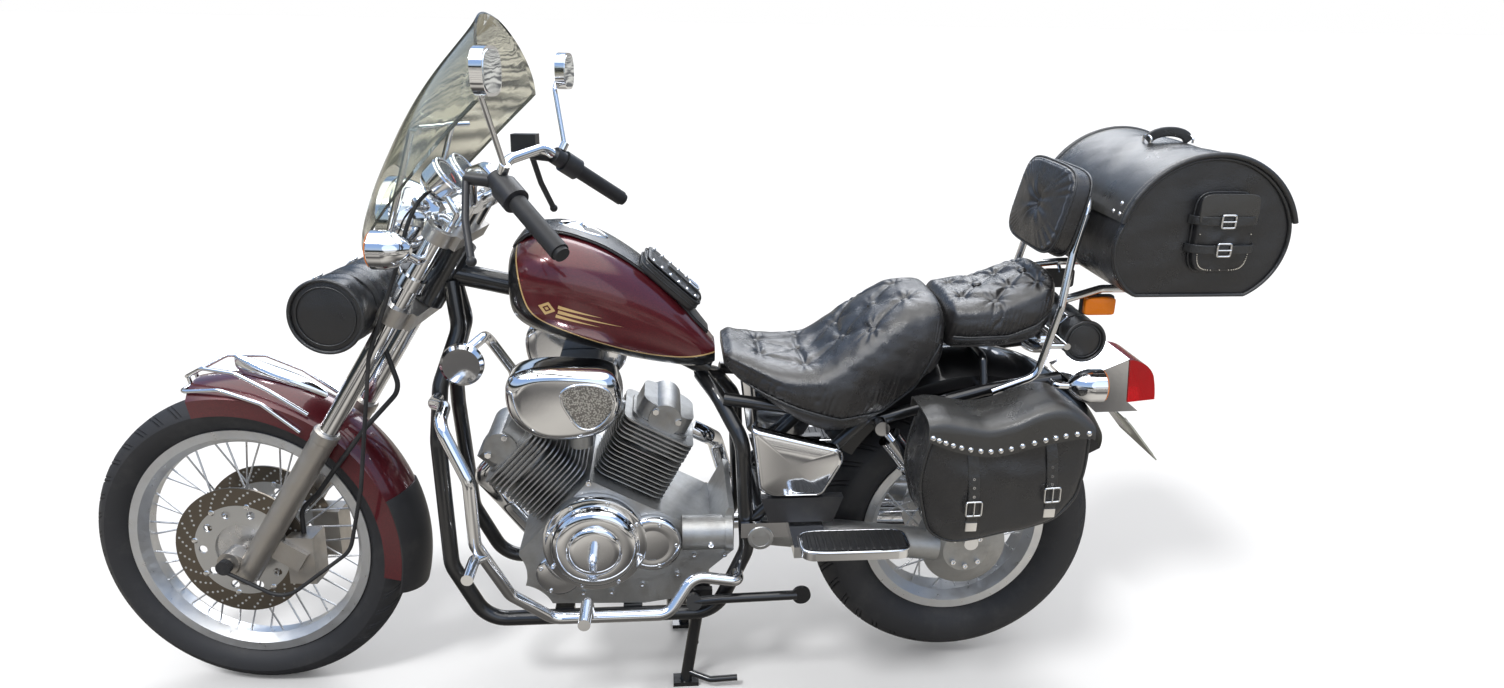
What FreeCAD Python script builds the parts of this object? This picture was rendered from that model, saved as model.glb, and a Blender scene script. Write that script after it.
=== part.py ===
import FreeCAD, Part
import math
import os
import Sketcher

# A cruiser motorcycle with wire wheels, an air-cooled V-twin engine and leather luggage,
# parked on its centre stand. +X points ahead, +Y to the rider's left, +Z up, in millimetres.
# The origin lies on the floor, in the middle plane, halfway along the whole bike.

SIZES = {
    # stance
    "wheelbase": 1525,
    "front_axle_x": 875,
    "rear_lift": 18,
    "rake": 32,
    "trail": 129,
    "bars_turned": -6.6,
    "running_gap": 0.3,
    # front wheel
    "front_seat_radius": 243,
    "front_tyre_height": 88,
    "front_tyre_half": 50,
    "front_shoulder_drop": 33,
    "front_lip_height": 14,
    "front_rim_half": 32,
    "front_well_drop": 14,
    "front_well_half": 13,
    "front_spokes": 40,
    "front_hub_half": 56,
    "front_hub_radius": 26,
    "front_flange_radius": 46,
    "front_flange_half": 34,
    # rear wheel
    "rear_seat_radius": 191,
    "rear_tyre_height": 125.5,
    "rear_tyre_half": 70,
    "rear_shoulder_drop": 40.5,
    "rear_lip_height": 15,
    "rear_rim_half": 46,
    "rear_well_drop": 15,
    "rear_well_half": 24,
    "rear_spokes": 40,
    "rear_hub_half": 66,
    "rear_hub_radius": 34,
    "rear_flange_radius": 62,
    "rear_flange_half": 44,
    "rear_drum_radius": 96,
    "rim_wall": 4,
    "lip_wall": 3,
    "tyre_wall": 9,
    "spoke_radius": 2,
    "axle_radius": 10,
    # brake discs and calipers
    "disc_radius": 141,
    "disc_hole_radius": 58,
    "disc_window_radius": 9,
    "disc_window_circle": 84,
    "disc_windows": 10,
    "disc_wall": 5,
    "caliper_reach": 137,
    "caliper_height": 104,
    "caliper_depth": 56,
    "caliper_out": 34,
    "caliper_in": 24,
    "pad_gap": 2,
    # fork
    "fork_offset": 26,
    "fork_half": 100,
    "tube_radius": 19,
    "lower_yoke": 980,
    "yoke_spread": 186,
    "tube_above_yoke": 30,
    "yoke_wall": 28,
    "stem_radius": 13,
    "slider_radius": 25,
    "slider_top": 712,
    "slider_foot": 322,
    "axle_height": 349,
    "axle_lead": 66,
    "fender_boss_up": 668,
    # handlebar
    "bar_radius": 11,
    "riser_half": 48,
    "bar_clamp_ahead": 7,
    "bar_clamp_rise": 89,
    "bar_rise": 65,
    "grip_in_x": 216,
    "grip_in_half": 270,
    "grip_in_z": 1108,
    "grip_end_x": 124,
    "grip_end_half": 352,
    "grip_end_z": 1032,
    "grip_radius": 16.5,
    # lamps and instruments
    "headlight_x": 524,
    "headlight_z": 1026,
    "headlight_radius": 86,
    "headlight_depth": 100,
    "gauge_radius": 40,
    "gauge_x": 392,
    "gauge_half": 52,
    "gauge_z": 1118,
    "signal_radius": 35,
    "signal_length": 72,
    "front_signal_x": 420,
    "front_signal_half": 200,
    "front_signal_z": 1001,
    "rear_signal_x": -824,
    "rear_signal_half": 153,
    "rear_signal_z": 716,
    "mirror_half": 318,
    "mirror_x": 226,
    "mirror_z": 1312,
    "mirror_width": 118,
    "mirror_height": 78,
    # windshield
    "screen_top_x": 320,
    "screen_top_z": 1417,
    "screen_half": 215,
    "screen_curve": 250,
    "screen_wall": 4,
    "screen_clamp_up": 1060,
    # front roll and fender
    "roll_x": 600,
    "roll_z": 868,
    "roll_radius": 70,
    "roll_half": 170,
    "front_fender_gap": 41,
    "front_fender_half": 72,
    "front_fender_depth": 70,
    "front_fender_start": 78,
    "front_fender_sweep": 112,
    "fender_wall": 2.5,
    "fender_rise": 34,
    "flap_wall": 3,
    # rear fender
    "rear_fender_radius": 357,
    "rear_fender_half": 92,
    "rear_fender_depth": 61,
    "rear_fender_start": 30,
    "rear_fender_sweep": 122,
    "rear_fender_x": -655,
    "rear_fender_z": 395,
    # frame
    "head_tube_radius": 30,
    "head_tube_low": 1018,
    "head_tube_high": 1162,
    "frame_tube": 16,
    "spine_radius": 22,
    "frame_half": 128,
    "frame_low_z": 196,
    "pivot_x": -203,
    "pivot_z": 387,
    "pivot_half": 150,
    # engine
    "crank_x": 125,
    "crank_z": 372,
    "front_lean": 47,
    "rear_lean": -28,
    "case_half": 118,
    "cylinder_base": 112,
    "fin_half": 80,
    "fin_wide": 84,
    "fin_wall": 2.6,
    "fin_pitch": 10,
    "barrel_fins": 9,
    "head_fins": 5,
    "barrel_radius": 62,
    "cover_radius": 90,
    "pod_x": 185,
    "pod_z": 707,
    "pod_half": 205,
    # tank and seats
    "tank_front_x": 292,
    "tank_rear_x": -112,
    "tank_half": 134,
    "tank_gap": 8,
    "saddle_half": 165,
    "pillion_half": 128,
    # luggage
    "trunk_front_x": -868,
    "trunk_rear_x": -1200,
    "trunk_low_z": 918,
    "trunk_top_z": 1186,
    "trunk_seam_z": 1062,
    "trunk_half": 200,
    "leather_wall": 5,
    "bag_front_x": -483,
    "bag_rear_x": -800,
    "bag_low_z": 469,
    "bag_top_z": 698,
    "bag_inner": 196,
    "bag_outer": 330,
    "rack_tube": 8,
    "rack_half": 147.3,
    "bib_wall": 4,
    "rear_roll_radius": 42,
    "rear_roll_x": -862,
    "rear_roll_z": 800,
    # stands
    "stand_pivot_x": -84,
    "stand_pivot_z": 236,
    "stand_foot_x": -47,
    "stand_half": 108,
    "stand_tube": 13,
    "pin_radius": 9,
    "side_stand_x": -64,
    "side_stand_z": 240,
    "side_stand_splay": 20,
}

Vector = FreeCAD.Vector
doc = FreeCAD.newDocument("cruiser")
sheet = doc.addObject("Spreadsheet::Sheet", "sizes")


class Size:
    """A number from the sheet, kept with the formula that gives it."""

    def __init__(self, value, formula):
        self.value = value
        self.formula = formula

    def __float__(self):
        return float(self.value)

    def __add__(self, other):
        return Size(self.value + float(other), f"({self.formula} + {formula_of(other)})")

    def __radd__(self, other):
        return Size(float(other) + self.value, f"({formula_of(other)} + {self.formula})")

    def __sub__(self, other):
        return Size(self.value - float(other), f"({self.formula} - {formula_of(other)})")

    def __rsub__(self, other):
        return Size(float(other) - self.value, f"({formula_of(other)} - {self.formula})")

    def __mul__(self, other):
        return Size(self.value * float(other), f"({self.formula} * {formula_of(other)})")

    def __rmul__(self, other):
        return self * other

    def __truediv__(self, other):
        return Size(self.value / float(other), f"({self.formula} / {formula_of(other)})")

    def __neg__(self):
        return Size(-self.value, f"(-1 * {self.formula})")


def formula_of(number):
    """Give the formula of a size, or a plain number as text."""
    return number.formula if isinstance(number, Size) else repr(float(number))


class Dimensions:
    """Every driving dimension by its name."""

    def __init__(self, sizes):
        for row, (name, value) in enumerate(sizes.items(), 1):
            sheet.set(f"A{row}", name)
            sheet.set(f"B{row}", str(value))
            sheet.setAlias(f"B{row}", name)
            setattr(self, name, Size(float(value), f"sizes.{name}"))


d = Dimensions(SIZES)
doc.recompute()

d.front_tyre_radius = d.front_seat_radius + d.front_tyre_height
d.front_shoulder_radius = d.front_tyre_radius - d.front_shoulder_drop
d.front_lip_radius = d.front_seat_radius + d.front_lip_height
d.front_well_radius = d.front_seat_radius - d.front_well_drop
d.rear_tyre_radius = d.rear_seat_radius + d.rear_tyre_height
d.rear_shoulder_radius = d.rear_tyre_radius - d.rear_shoulder_drop
d.rear_lip_radius = d.rear_seat_radius + d.rear_lip_height
d.rear_well_radius = d.rear_seat_radius - d.rear_well_drop
d.upper_yoke = d.lower_yoke + d.yoke_spread
d.fork_top = d.upper_yoke + d.tube_above_yoke
d.bar_clamp_up = d.upper_yoke + d.bar_clamp_rise
d.front_fender_radius = d.front_tyre_radius + d.front_fender_gap
d.front_fender_skirt = d.front_fender_radius - d.front_fender_depth
d.rear_fender_skirt = d.rear_fender_radius - d.rear_fender_depth

rear_axle_x = d.front_axle_x - d.wheelbase
rear_axle_z = d.rear_tyre_radius + d.rear_lift
front_axle_z = d.front_tyre_radius
steer_ground_x = d.front_axle_x + d.trail

X_AXIS = Vector(1, 0, 0)
Y_AXIS = Vector(0, 1, 0)
Z_AXIS = Vector(0, 0, 1)

rake_turn = FreeCAD.Rotation(Y_AXIS, -float(d.rake))
steer_axis = rake_turn.multVec(Z_AXIS)
steer_ground = Vector(float(steer_ground_x), 0, 0)
steer_place = FreeCAD.Placement(Vector(), FreeCAD.Rotation(steer_axis, float(d.bars_turned)), steer_ground)
fork_place = FreeCAD.Placement(steer_ground, rake_turn)

nodes = []


# Helpers that draw and place the pieces


def point(x, y, z):
    """Make a vector from three sizes."""
    return Vector(float(x), float(y), float(z))


def in_fork(ahead, side, up):
    """Place a point given along the fork into the straight-ahead bike."""
    return fork_place.multVec(point(ahead, side, up))


def bind(item, **sizes):
    """Bind each named property to its formula in the sheet."""
    for name, size in sizes.items():
        if isinstance(size, Size):
            item.setExpression(name, size.formula)
        else:
            setattr(item, name, size)


def node(item, label, steered=False):
    """Name a finished piece and turn what rides on the steering."""
    if steered:
        item.Placement = steer_place.multiply(item.Placement)
    item.Label = label
    nodes.append(item)
    return item


def feature(name, shape):
    """Keep a worked-out shape as an object of the document."""
    item = doc.addObject("Part::Feature", name)
    item.Shape = shape
    return item


def move_to(item, x, y, z):
    """Bind the position of a piece to the sheet."""
    for letter, size in zip("xyz", (x, y, z)):
        if isinstance(size, Size):
            item.setExpression(f".Placement.Base.{letter}", size.formula)
        else:
            setattr(item.Placement.Base, letter, float(size))


def cylinder(name, radius, length, start, along):
    """Draw a round bar from a start point along a direction."""
    item = doc.addObject("Part::Cylinder", name)
    bind(item, Radius=radius, Height=length)
    item.Placement = FreeCAD.Placement(point(*start), FreeCAD.Rotation(Z_AXIS, along))
    move_to(item, *start)
    return item


def fuse(name, items):
    """Join several pieces into one."""
    item = doc.addObject("Part::MultiFuse", name)
    item.Shapes = items
    return item


def cut(name, base, tool):
    """Take one piece away from another."""
    item = doc.addObject("Part::Cut", name)
    item.Base = base
    item.Tool = tool
    return item


def mirrored(name, item):
    """Mirror a piece to the other side of the bike."""
    other = doc.addObject("Part::Mirroring", name)
    other.Source = item
    other.Normal = (0, 1, 0)
    return other


def together(name, items):
    """Keep like pieces that don't touch as one node."""
    item = doc.addObject("Part::Compound", name)
    item.Links = items
    return item


def both_sides(name, item):
    """Keep a piece and its mirror image as one node."""
    return together(name, [item, mirrored(name + "_mirror", item)])


def origin_plane(body, role):
    """Find one of a body's own origin planes."""
    return [part for part in body.Origin.OriginFeatures if part.Role == role][0]


def arc_middle(start, end, radius):
    """Find the middle of an arc, to the right of its chord for a positive radius."""
    chord = end - start
    half = chord.Length / 2
    reach = max(abs(radius), half)
    rise = reach - math.sqrt(reach * reach - half * half)
    side = Vector(chord.y, -chord.x, 0).normalize()
    return (start + end) * 0.5 + side * math.copysign(rise, radius)


def outline(body, role, corners):
    """Sketch a closed outline whose corners, and arc radii where given, follow the sheet.

    Each corner is x, y and, for an arc that leads to it, the arc's radius.
    """
    sketch = body.newObject("Sketcher::SketchObject", body.Name + "_outline")
    sketch.AttachmentSupport = [(origin_plane(body, role), "")]
    sketch.MapMode = "FlatFace"
    places = [Vector(float(corner[0]), float(corner[1]), 0) for corner in corners]
    starts = []
    for index, corner in enumerate(corners):
        start, end = places[index - 1], places[index]
        if len(corner) == 3:
            middle = arc_middle(start, end, float(corner[2]))
            forward = float(corner[2]) > 0
            first, last = (start, end) if forward else (end, start)
            edge = sketch.addGeometry(Part.Arc(first, middle, last))
            size = corner[2] if forward else -corner[2]
            name = sketch.addConstraint(Sketcher.Constraint("Radius", edge, float(size)))
            if isinstance(size, Size):
                sketch.setExpression(f"Constraints[{name}]", size.formula)
        else:
            edge = sketch.addGeometry(Part.LineSegment(start, end))
            forward = True
        starts.append((edge, 1 if forward else 2, 2 if forward else 1))
    for index, corner in enumerate(corners):
        edge, first, last = starts[index]
        following = starts[(index + 1) % len(starts)]
        sketch.addConstraint(Sketcher.Constraint("Coincident", edge, last, following[0], following[1]))
        for kind, size in (("DistanceX", corner[0]), ("DistanceY", corner[1])):
            name = sketch.addConstraint(Sketcher.Constraint(kind, -1, 1, edge, last, float(size)))
            if isinstance(size, Size):
                sketch.setExpression(f"Constraints[{name}]", size.formula)
    return sketch


def turned(name, corners, angle=360, role="XY_Plane"):
    """Turn an outline about its plane's upright axis; corners give radius and height."""
    body = doc.addObject("PartDesign::Body", name)
    profile = outline(body, role, corners)
    turn = body.newObject("PartDesign::Revolution", name + "_turned")
    turn.Profile = profile
    turn.ReferenceAxis = (profile, ["V_Axis"])
    bind(turn, Angle=angle)
    return body


def plate(name, corners, length, role="XZ_Plane", centred=True):
    """Thicken an outline, to both sides of its plane or to one."""
    body = doc.addObject("PartDesign::Body", name)
    profile = outline(body, role, corners)
    pad = body.newObject("PartDesign::Pad", name + "_pad")
    pad.Profile = profile
    bind(pad, Length=length)
    pad.SideType = "Symmetric" if centred else "One side"
    return body


def bent_path(points, radius):
    """Lead a wire through the points, with an arc at each bend."""
    edges = []
    start = points[0]
    for before, corner, after in zip(points, points[1:], points[2:]):
        back = (before - corner).normalize()
        ahead = (after - corner).normalize()
        half = back.getAngle(ahead) / 2
        room = 0.48 * min((before - corner).Length, (after - corner).Length)
        reach = min(radius / math.tan(half), room)
        bend = reach * math.tan(half)
        first = corner + back * reach
        last = corner + ahead * reach
        inward = (back + ahead).normalize()
        middle = corner + inward * (bend / math.sin(half) - bend)
        edges.append(Part.LineSegment(start, first).toShape())
        edges.append(Part.Arc(first, middle, last).toShape())
        start = last
    edges.append(Part.LineSegment(start, points[-1]).toShape())
    return Part.Wire(edges)


def bent_tube(points, tube_radius, bend_radius):
    """Sweep a round bar along a path of straight runs and tangent arcs."""
    path = bent_path(points, float(bend_radius))
    along = points[1] - points[0]
    ring = Part.Wire(Part.makeCircle(float(tube_radius), points[0], along))
    return path.makePipeShell([ring], True, False)


def rod(start, end, radius):
    """Draw a straight round bar between two points."""
    along = end - start
    return Part.makeCylinder(float(radius), along.Length, start, along)


def joined(shapes):
    """Fuse worked-out shapes into one."""
    return shapes[0].multiFuse(shapes[1:]).removeSplitter()


def flip(shape):
    """Mirror a worked-out shape to the other side of the bike."""
    return shape.mirror(Vector(), Y_AXIS)


def smooth_section(x, half_width, low, high, power, points=20):
    """Draw a rounded cross-section at one place along the bike."""
    ring = []
    middle = (low + high) / 2
    for index in range(points):
        turn = 2 * math.pi * index / points
        side = math.copysign(abs(math.cos(turn)) ** (2 / power), math.cos(turn))
        rise = math.copysign(abs(math.sin(turn)) ** (2 / power), math.sin(turn))
        ring.append(Vector(x, half_width * side, middle + (high - low) / 2 * rise))
    curve = Part.BSplineCurve()
    curve.interpolate(ring, PeriodicFlag=True)
    return Part.Wire(curve.toShape())


# Wheels


def crown(half, rise):
    """Find the radius of an arc of this half width and rise."""
    return (half * half + rise * rise) / (2 * rise)


def tyre(name, radius, half, shoulder, seat, lip, rim_half):
    """A tubeless carcass that sits on its rim's bead seats."""
    bead = rim_half - d.lip_wall - d.running_gap
    low = seat + d.running_gap
    inside = half - d.tyre_wall
    return turned(name, [
        (low, -bead),
        (lip + 2, -bead),
        (shoulder, -half, 60),
        (shoulder, half, crown(half, radius - shoulder)),
        (lip + 2, bead, 60),
        (low, bead),
        (low, bead - d.tyre_wall),
        (lip + 2, bead - d.tyre_wall),
        (shoulder, inside, -60),
        (shoulder, -inside, -crown(inside, radius - d.tyre_wall * 1.3 - shoulder)),
        (lip + 2, d.tyre_wall - bead, -60),
        (low, d.tyre_wall - bead),
    ])


def rim(name, lip, half, seat, well, well_half):
    """A drop-centre rim with rolled lips."""
    inside = half - d.lip_wall
    return turned(name, [
        (lip, -half),
        (lip, -inside),
        (seat, -inside),
        (seat, -well_half - d.lip_wall * 2),
        (well, -well_half),
        (well, well_half),
        (seat, well_half + d.lip_wall * 2),
        (seat, inside),
        (lip, inside),
        (lip, half),
        (seat - d.rim_wall, half),
        (well - d.rim_wall, well_half),
        (well - d.rim_wall, -well_half),
        (seat - d.rim_wall, -half),
    ])


def spoke_set(name, count, flange_radius, flange_half, well, well_half, lean):
    """Crossed spokes from both hub flanges to the rim."""
    spokes = []
    well_inside = float(well - d.rim_wall) - 0.9
    total = int(float(count))
    for index in range(total):
        side = 1 if index % 2 else -1
        sweep = 1 if (index // 2) % 2 else -1
        turn = 2 * math.pi * index / total
        low = turn - sweep * lean
        foot_half = side * (float(flange_half) + sweep * 1.5)
        start = Vector(float(flange_radius) * math.cos(low), foot_half, float(flange_radius) * math.sin(low))
        end_half = side * float(well_half) * 0.55
        end = Vector(well_inside * math.cos(turn), end_half, well_inside * math.sin(turn))
        spokes.append(feature(f"{name}_{index + 1}", rod(start, end, d.spoke_radius)))
    return spokes


def make_front_wheel():
    item = tyre("front_tyre_body", d.front_tyre_radius, d.front_tyre_half, d.front_shoulder_radius,
                d.front_seat_radius, d.front_lip_radius, d.front_rim_half)
    front_items = [(item, "front_tyre")]
    item = rim("front_rim_body", d.front_lip_radius, d.front_rim_half, d.front_seat_radius,
               d.front_well_radius, d.front_well_half)
    front_items.append((item, "front_rim"))
    hub = turned("front_hub_body", [
        (d.axle_radius + d.running_gap, -d.front_hub_half),
        (d.disc_hole_radius + 14, -d.front_hub_half),
        (d.disc_hole_radius + 14, 6 - d.front_hub_half),
        (d.front_hub_radius, 14 - d.front_hub_half),
        (d.front_hub_radius, -d.front_flange_half - 4),
        (d.front_flange_radius, -d.front_flange_half - 3),
        (d.front_flange_radius, 3 - d.front_flange_half),
        (d.front_hub_radius - 4, 10 - d.front_flange_half),
        (d.front_hub_radius - 4, d.front_flange_half - 10),
        (d.front_flange_radius, d.front_flange_half - 3),
        (d.front_flange_radius, d.front_flange_half + 3),
        (d.front_hub_radius, d.front_flange_half + 4),
        (d.front_hub_radius, d.front_hub_half - 14),
        (d.disc_hole_radius + 14, d.front_hub_half - 6),
        (d.disc_hole_radius + 14, d.front_hub_half),
        (d.axle_radius + d.running_gap, d.front_hub_half),
    ])
    spokes = spoke_set("front_spoke", d.front_spokes, d.front_flange_radius - 3, d.front_flange_half,
                       d.front_well_radius, d.front_well_half, 0.95)
    wheel = fuse("front_spokes_fused", [hub] + spokes)
    front_items.append((wheel, "front_hub_spokes"))
    disc = disc_body()
    front_items.append((both_sides("front_discs_pair", disc), "front_discs"))
    for item, label in front_items:
        item.Placement = FreeCAD.Placement(point(d.front_axle_x, 0, front_axle_z), FreeCAD.Rotation())
        node(item, label, steered=True)


def disc_body():
    """A brake disc on its hub flange, with a ring of windows inside its braking face."""
    blank = turned("disc_body", [
        (d.disc_hole_radius, d.front_hub_half + d.running_gap),
        (d.disc_radius, d.front_hub_half + d.running_gap),
        (d.disc_radius, d.front_hub_half + d.running_gap + d.disc_wall),
        (d.disc_hole_radius, d.front_hub_half + d.running_gap + d.disc_wall),
    ])
    windows = []
    total = int(float(d.disc_windows))
    for index in range(total):
        turn = 2 * math.pi * index / total
        reach = float(d.disc_window_circle)
        centre = (reach * math.cos(turn), d.front_hub_half - 10, reach * math.sin(turn))
        windows.append(cylinder(f"disc_window_{index + 1}", d.disc_window_radius, 40, centre, Y_AXIS))
    return cut("disc_pierced", blank, fuse("disc_windows_all", windows))


def make_rear_wheel():
    items = []
    items.append((tyre("rear_tyre_body", d.rear_tyre_radius, d.rear_tyre_half, d.rear_shoulder_radius,
                       d.rear_seat_radius, d.rear_lip_radius, d.rear_rim_half), "rear_tyre"))
    items.append((rim("rear_rim_body", d.rear_lip_radius, d.rear_rim_half, d.rear_seat_radius,
                      d.rear_well_radius, d.rear_well_half), "rear_rim"))
    hub = turned("rear_hub_body", [
        (d.axle_radius + d.running_gap, -d.rear_hub_half),
        (d.rear_drum_radius - 6, -d.rear_hub_half),
        (d.rear_drum_radius, 6 - d.rear_hub_half),
        (d.rear_drum_radius, -d.rear_flange_half - 3),
        (d.rear_flange_radius, 3 - d.rear_flange_half),
        (d.rear_hub_radius, 14 - d.rear_flange_half),
        (d.rear_hub_radius, d.rear_flange_half - 10),
        (d.rear_flange_radius, d.rear_flange_half - 3),
        (d.rear_flange_radius, d.rear_flange_half + 3),
        (d.rear_hub_radius + 12, d.rear_hub_half),
        (d.axle_radius + d.running_gap, d.rear_hub_half),
    ])
    spokes = spoke_set("rear_spoke", d.rear_spokes, d.rear_flange_radius - 3, d.rear_flange_half,
                       d.rear_well_radius, d.rear_well_half, 0.75)
    items.append((fuse("rear_spokes_fused", [hub] + spokes), "rear_hub_spokes"))
    for item, label in items:
        item.Placement = FreeCAD.Placement(point(rear_axle_x, 0, rear_axle_z), FreeCAD.Rotation())
        node(item, label)


# Fork and what it carries


def make_fork():
    """Yokes with the steering stem, chrome tubes, sliders and the axle."""
    bore = d.tube_radius + d.running_gap
    yokes = []
    for up, wall in ((d.lower_yoke, d.yoke_wall + 8), (d.upper_yoke, d.yoke_wall)):
        arm = Part.makeBox(46, 2 * float(d.fork_half), float(wall), point(-14, -d.fork_half, up))
        for side in (1, -1):
            boss = Part.makeCylinder(float(d.tube_radius) + 10, float(wall),
                                     point(d.fork_offset, d.fork_half * side, up))
            arm = arm.fuse(boss)
        yokes.append(arm)
    stem = Part.makeCylinder(float(d.stem_radius), float(d.upper_yoke - d.lower_yoke),
                             point(0, 0, d.lower_yoke))
    shape = joined(yokes + [stem])
    for side in (1, -1):
        shape = shape.cut(Part.makeCylinder(float(bore), 400, point(d.fork_offset, d.fork_half * side,
                                                                  d.lower_yoke - 20)))
    item = feature("fork_yokes_shape", shape)
    item.Placement = fork_place
    node(item, "fork_yokes", steered=True)

    tube_low = d.slider_top + d.running_gap
    tube = cylinder("fork_tube", d.tube_radius, d.fork_top - tube_low,
                    (d.fork_offset, d.fork_half, tube_low), Z_AXIS)
    item = both_sides("fork_tubes_pair", tube)
    item.Placement = fork_place
    node(item, "fork_tubes", steered=True)

    leg = turned("slider_body", [
        (0, d.slider_foot),
        (d.slider_radius - 5, d.slider_foot),
        (d.slider_radius, d.slider_foot + 12),
        (d.slider_radius, d.slider_top - 24),
        (d.slider_radius + 2, d.slider_top - 22),
        (d.slider_radius + 2, d.slider_top - 4),
        (d.slider_radius - 2, d.slider_top),
        (0, d.slider_top),
    ], role="XZ_Plane")
    leg.Placement = FreeCAD.Placement(point(d.fork_offset, d.fork_half, 0), FreeCAD.Rotation())
    lug = cylinder("axle_lug", d.axle_radius + 13, 2 * d.slider_radius - 8,
                   (d.axle_lead, d.fork_half - d.slider_radius + 4, d.axle_height), Y_AXIS)
    web = feature("axle_web", Part.makeBox(float(d.axle_lead - d.fork_offset), 30, 46,
                                           point(d.fork_offset, d.fork_half - 15, d.axle_height - 23)))
    bracket = feature("caliper_bracket", Part.makeBox(
        86, 9, 44, point(d.fork_offset - 86, caliper_outside(), d.axle_height + 48)))
    boss_start = d.front_fender_half + d.running_gap
    boss = cylinder("fender_boss", 9, d.fork_half - boss_start, (d.fork_offset, boss_start, d.fender_boss_up), Y_AXIS)
    slider = fuse("slider_fused", [leg, lug, web, bracket, boss])
    axle_bore = cylinder("axle_bore", d.axle_radius + d.running_gap, 2 * d.fork_half + 80,
                         (d.axle_lead, -d.fork_half - 40, d.axle_height), Y_AXIS)
    slider = cut("slider_bored", slider, axle_bore)
    axle = cylinder("axle_bar", d.axle_radius, 2 * d.fork_half + 56,
                    (d.axle_lead, -d.fork_half - 28, d.axle_height), Y_AXIS)
    item = together("fork_sliders_group", [slider, mirrored("slider_right", slider), axle])
    item.Placement = fork_place
    node(item, "fork_sliders", steered=True)


def caliper_outside():
    """How far out a caliper's outer face lies, with its gap."""
    return d.front_hub_half + d.running_gap + d.disc_wall / 2 + d.caliper_out + d.running_gap


def make_calipers():
    """A caliper over the rear edge of each disc."""
    disc_mid = d.front_hub_half + d.running_gap + d.disc_wall / 2
    body = doc.addObject("Part::Box", "caliper_block")
    bind(body, Length=d.caliper_depth, Width=d.caliper_out + d.caliper_in, Height=d.caliper_height)
    body.Placement.Base = point(d.front_axle_x - d.caliper_reach - d.caliper_depth / 2,
                                disc_mid - d.caliper_in, front_axle_z - d.caliper_height / 2 - 6)
    slot = feature("caliper_slot", Part.makeCylinder(
        float(d.disc_radius) + 3, float(d.disc_wall + d.pad_gap * 2),
        point(d.front_axle_x, disc_mid - d.disc_wall / 2 - d.pad_gap, front_axle_z), Y_AXIS))
    half = cut("caliper_cut", body, slot)
    item = both_sides("calipers_pair", half)
    node(item, "brake_calipers", steered=True)


def bar_points(side):
    """The handlebar's route from its middle to one end."""
    clamp = in_fork(d.bar_clamp_ahead, 0, d.bar_clamp_up)
    end = point(d.grip_end_x, d.grip_end_half * side, d.grip_end_z)
    inner = point(d.grip_in_x, d.grip_in_half * side, d.grip_in_z)
    return [
        clamp,
        clamp + point(0, (d.riser_half + 22) * side, 0),
        clamp + point(-20, (d.riser_half + 85) * side, d.bar_rise),
        inner + (inner - end).normalize() * 84,
        end,
    ]


def make_handlebar():
    """A pulled-back bar on two risers."""
    points = list(reversed(bar_points(1)))[:-1] + bar_points(-1)[1:]
    bar = bent_tube(points, d.bar_radius, 45)
    yoke_top = d.upper_yoke + d.yoke_wall + d.running_gap
    parts = [bar]
    for side in (1, -1):
        foot = in_fork(d.bar_clamp_ahead, d.riser_half * side, yoke_top)
        head = in_fork(d.bar_clamp_ahead, d.riser_half * side, d.bar_clamp_up)
        parts.append(rod(foot, head, 15))
        parts.append(Part.makeCylinder(20, 26, Vector(head.x, head.y - 13, head.z), Y_AXIS))
    node(feature("handlebar_shape", joined(parts)), "handlebar", steered=True)

    grips = []
    for side in (1, -1):
        inner, end = bar_points(side)[-2], bar_points(side)[-1]
        along = (end - inner).normalize()
        start = end - along * 128
        sleeve = rod(start, end + along * 3, d.grip_radius).cut(rod(start, end, d.bar_radius + d.running_gap))
        cap = rod(end + along * 3, end + along * 11, d.grip_radius - 3)
        grips.append(sleeve.fuse(cap))
    node(feature("grips_shape", Part.makeCompound(grips)), "hand_grips", steered=True)


def make_hand_controls():
    """Switch housings, lever perches, levers and the brake reservoir."""
    parts = []
    for side in (1, -1):
        inner, end = bar_points(side)[-2], bar_points(side)[-1]
        along = (end - inner).normalize()
        start = end - along * 132
        bore = rod(inner, end, d.bar_radius + d.running_gap)
        housing = rod(start - along * 40, start, 24).cut(bore)
        perch = rod(start - along * 66, start - along * 42, 19).cut(bore)
        pivot = point(300, 244 * side, 1136)
        root = start - along * 54
        bridge = rod(root + (pivot - root).normalize() * 17, pivot, 11)
        tip = point(274, 330 * side, 1008)
        lever = bent_tube([pivot, point(292, 290 * side, 1070), tip], 6.5, 60)
        ball = Part.makeSphere(9, tip)
        group = [perch, bridge, lever, ball]
        if side < 0:
            group.append(Part.makeBox(54, 40, 38, Vector(286, -266, 1142)))
        parts.append(housing)
        parts.append(joined(group).cut(bore))
    node(feature("hand_controls_shape", Part.makeCompound(parts)), "hand_controls", steered=True)


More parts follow.
